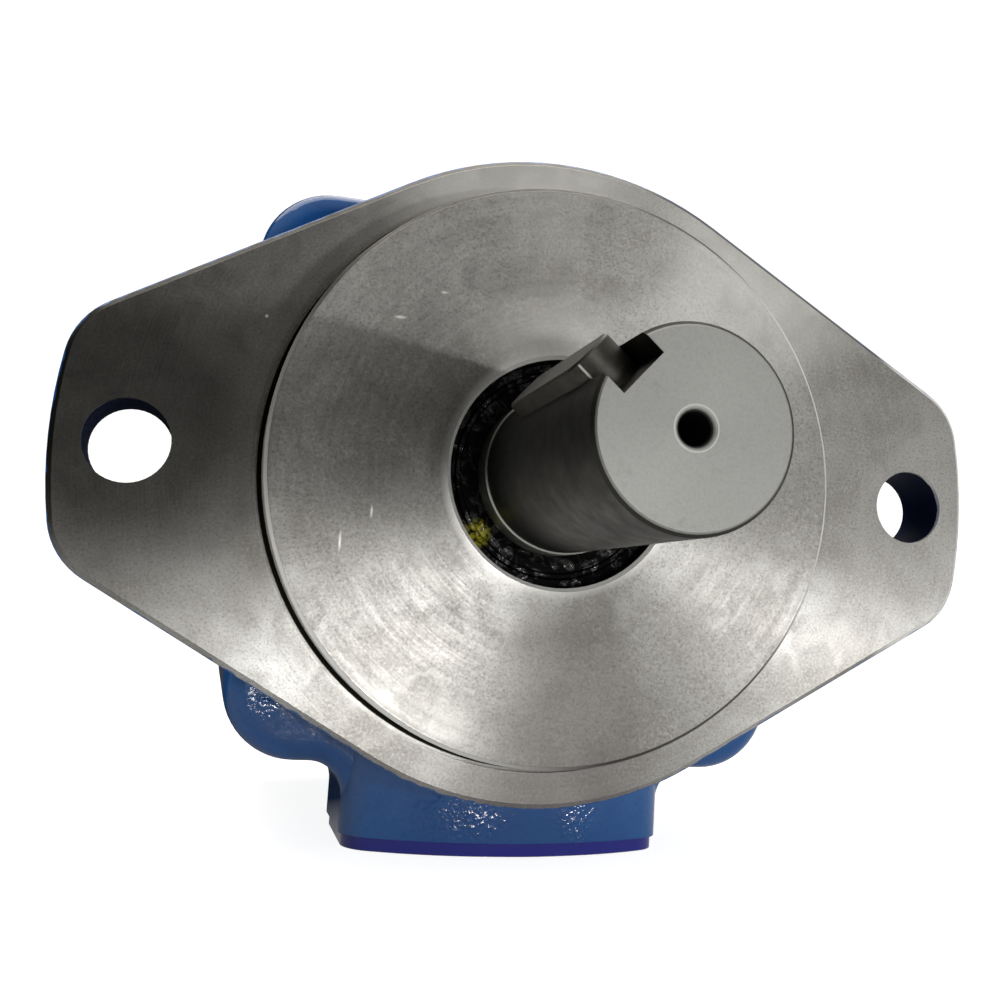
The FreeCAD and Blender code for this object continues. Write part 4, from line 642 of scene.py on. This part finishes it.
# Name, port, lowest end, radius of a hole, turns and pitch. A thread is one pitch taller than its turns, and
# ends 0.6 mm inside its port's face.
PORT_THREADS = [
    ("pressure_port_thread_%d", PRESSURE_PORT, PRESSURE_FACE + 0.6, 4.25, 11, 1.5),
    ("suction_port_thread_%d", SUCTION_PORT, SUCTION_FACE - 0.6 - 9 * 1.75, 5.1, 8, 1.75)]


def port_thread(name, hole, lowest, radius, turns, pitch):
    """Ridge of a cut metric thread: a three-sided profile screwed up a hole's wall and closed at its ends.

    hole is its axis as x and y. The ridge's root lies just inside the wall, so that no gap shows.
    """
    bpy.ops.object.select_all(action="DESELECT")
    bpy.ops.mesh.primitive_circle_add(vertices=3, radius=1.0)
    piece = bpy.context.active_object
    piece.name = piece.data.name = name
    wall, crest = radius + RIDGE_ROOT, radius - RIDGE_HEIGHT
    corners = [(crest, pitch * 0.5), (wall, pitch * 0.98), (wall, pitch * 0.02)]
    for vertex, (out, up) in zip(piece.data.vertices, corners):
        vertex.co = (out * MM, 0.0, up * MM)
    screw = piece.modifiers.new("thread", "SCREW")
    screw.axis = "Z"
    screw.screw_offset = pitch * MM
    screw.iterations = turns
    screw.steps = screw.render_steps = STEPS_A_TURN
    screw.use_smooth_shade = False
    bpy.ops.object.modifier_apply(modifier=screw.name)
    bpy.ops.object.mode_set(mode="EDIT")
    bpy.ops.mesh.select_all(action="SELECT")
    bpy.ops.mesh.fill_holes(sides=3)
    bpy.ops.mesh.select_all(action="SELECT")
    bpy.ops.mesh.normals_make_consistent(inside=False)
    bpy.ops.object.mode_set(mode="OBJECT")
    piece.location = Vector((*hole, lowest)) * MM
    bpy.ops.object.transform_apply(location=True, rotation=False, scale=False)
    piece.data.materials.append(thread_iron)
    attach(piece, "housing")


# Cast iron cut by a tap: bright crests over grey flanks, too small to show lathe marks
thread_iron = turned_steel("cut_thread_iron", "5a5853", "8a8780", rough=0.34, grip=0.0)
for label, port, lowest, radius, turns, pitch in PORT_THREADS:
    for index, (right, back) in enumerate([(1, 1), (1, -1), (-1, 1), (-1, -1)]):
        hole = (right * port.aside, port.place + back * port.along)
        port_thread(label % (index + 1), hole, lowest, radius, turns, pitch)


# Stage: a pale sweep, soft lights and the camera

FLOOR_GAP = 0.0002


def pick(piece, kind, wanted):
    """Select only the wanted vertices or edges of a piece, in edit mode."""
    bpy.ops.object.mode_set(mode="EDIT")
    bpy.ops.mesh.select_mode(type=kind)
    bpy.ops.mesh.select_all(action="DESELECT")
    bpy.ops.object.mode_set(mode="OBJECT")
    for part in {"VERT": piece.data.vertices, "EDGE": piece.data.edges}[kind]:
        part.select = wanted(part)
    bpy.ops.object.mode_set(mode="EDIT")


def pale_sweep():
    """Floor that curves up into a wall behind the pump. It is white to the camera, and dimmer in reflections
    towards the camera and the left, as a dark room beyond a white table is."""
    floor = cad_box[0][2] - FLOOR_GAP
    bpy.ops.object.select_all(action="DESELECT")
    bpy.ops.mesh.primitive_plane_add(size=2.0, location=(0.0, -0.3, floor))
    piece = bpy.context.active_object
    piece.name = piece.data.name = "pale_sweep"
    piece.scale = (3.0, 1.9, 1.0)
    bpy.ops.object.transform_apply(location=True, rotation=False, scale=True)
    back = piece.data.vertices[2].co.y
    pick(piece, "VERT", lambda vertex: abs(vertex.co.y - back) < 1e-4)
    bpy.ops.mesh.extrude_region_move(TRANSFORM_OT_translate={"value": (0.0, 0.0, 3.2)})
    bpy.ops.object.mode_set(mode="OBJECT")
    points = piece.data.vertices
    corner = [point.index for point in points
              if abs(point.co.y - back) < 1e-4 and abs(point.co.z - floor) < 1e-4]
    pick(piece, "EDGE", lambda edge: all(k in corner for k in edge.vertices))
    bpy.ops.mesh.bevel(offset=0.6, segments=12, affect="EDGES")
    bpy.ops.object.mode_set(mode="OBJECT")
    bpy.ops.object.shade_smooth()
    paper = Finish("pale_paper", "b0b0af")
    fibre = paper.add("TexNoise", {"Vector": paper.place, "Scale": 1 / 3, "Detail": 3.0, "Roughness": 0.6})
    paper.lay("b6b6b5", fibre)
    camera_ray, glossy_ray, through_ray = [
        paper.add("LightPath", {}, ray) for ray in ("Is Camera Ray", "Is Glossy Ray", "Is Transmission Ray")]
    seen = paper.all_of(paper.any_of(camera_ray, through_ray), 0.9)
    in_front = paper.add("MapRange", {
        "Value": paper.y, "From Min": -230.0, "From Max": -90.0, "To Min": 0.1, "To Max": 0.36})
    on_left = paper.add("MapRange", {
        "Value": paper.x, "From Min": -420.0, "From Max": -120.0, "To Min": 0.12, "To Max": 1.0})
    behind = paper.all_of(glossy_ray, paper.zone(paper.x, high=-25.0, soft=15.0),
                          paper.zone(paper.y, low=60.0, soft=40.0))
    paper.lay("262626", behind)
    lit = paper.add("Math", {0: 1.0, 1: behind}, operation="SUBTRACT")
    mirrored = paper.all_of(glossy_ray, in_front, on_left, lit)
    piece.data.materials.append(paper.finish(
        Roughness=0.9, Emission_Color="ffffff", Emission_Strength=paper.any_of(seen, mirrored)))


def area_light(name, place, target, width, height, power, colour="ffffff"):
    """Rectangular lamp at a place, turned to its target. Lengths are in metres and power in watts."""
    light = bpy.data.lights.new(name, "AREA")
    light.shape = "RECTANGLE"
    light.size = width
    light.size_y = height
    light.energy = power
    light.color = linear(colour)[:3]
    lamp = bpy.data.objects.new(name, light)
    lamp.location = place
    lamp.rotation_euler = (Vector(target) - Vector(place)).to_track_quat("-Z", "Y").to_euler()
    bpy.context.scene.collection.objects.link(lamp)


def soft_room():
    """Room light: dim on the left, brighter to the right and overhead, and white to the camera."""
    world = bpy.data.worlds.new("soft_room")
    world.use_nodes = True
    room = Nodes(world.node_tree)
    way = room.add("TexCoord", {}, "Generated")
    from_right = room.add("MapRange", {
        "Value": room.add("SeparateXYZ", {0: way}, "X"), "From Min": 0.0, "From Max": 0.6,
        "To Min": 0.06, "To Max": 0.5}, interpolation_type="SMOOTHSTEP")
    from_above = room.add("MapRange", {
        "Value": room.add("SeparateXYZ", {0: way}, "Z"), "From Min": 0.25, "From Max": 0.8,
        "To Min": 0.0, "To Max": 0.6}, interpolation_type="SMOOTHSTEP")
    strength = room.add("Math", {0: from_right, 1: from_above}, operation="ADD")
    colour = "f4f3f0"
    for ray in ("Is Camera Ray", "Is Transmission Ray"):
        seen = room.add("LightPath", {}, ray)
        strength = room.add("Math", {0: strength, 1: seen}, operation="MAXIMUM")
        colour = room.add("Mix", {0: seen, 6: colour, 7: "ffffff"}, 2, data_type="RGBA")
    room.add("OutputWorld", {"Surface": room.add("Background", {"Color": colour, "Strength": strength})})
    bpy.context.scene.world = world


def photo_camera():
    """Camera at the photograph's place, turned by its rows for right, down and ahead."""
    data = bpy.data.cameras.new("photo_camera")
    data.sensor_width = 36.0
    data.lens = 44.34
    data.shift_x = -0.08141
    data.shift_y = -0.03703
    data.clip_start = 0.01
    camera = bpy.data.objects.new("photo_camera", data)
    right = Vector((0.95591, -0.28872, 0.05359))
    down = Vector((0.08603, 0.10087, -0.99117))
    ahead = Vector((0.28077, 0.95208, 0.12126))
    turn = Matrix((right, -down, -ahead)).transposed()
    camera.matrix_world = Matrix.Translation((-0.071889, -0.265492, -0.030147)) @ turn.to_4x4()
    bpy.context.scene.collection.objects.link(camera)
    bpy.context.scene.camera = camera


pale_sweep()
soft_room()
area_light("low_front", (0.045, -0.55, -0.062), (0.0, 0.0, -0.02), 0.08, 0.02, 0.48)
area_light("low_left", (-0.07, -0.55, -0.07), (0.0, 0.0, -0.06), 0.04, 0.02, 0.08)
area_light("low_right", (0.42, -0.6, -0.066), (0.0, 0.0, 0.0), 0.1, 0.02, 0.68)
area_light("overhead", (-0.1, 0.4, 0.9), (0.0, 0.05, 0.0), 1.2, 0.8, 7.0, "fffaf2")
photo_camera()
bpy.context.scene.view_settings.view_transform = "Standard"
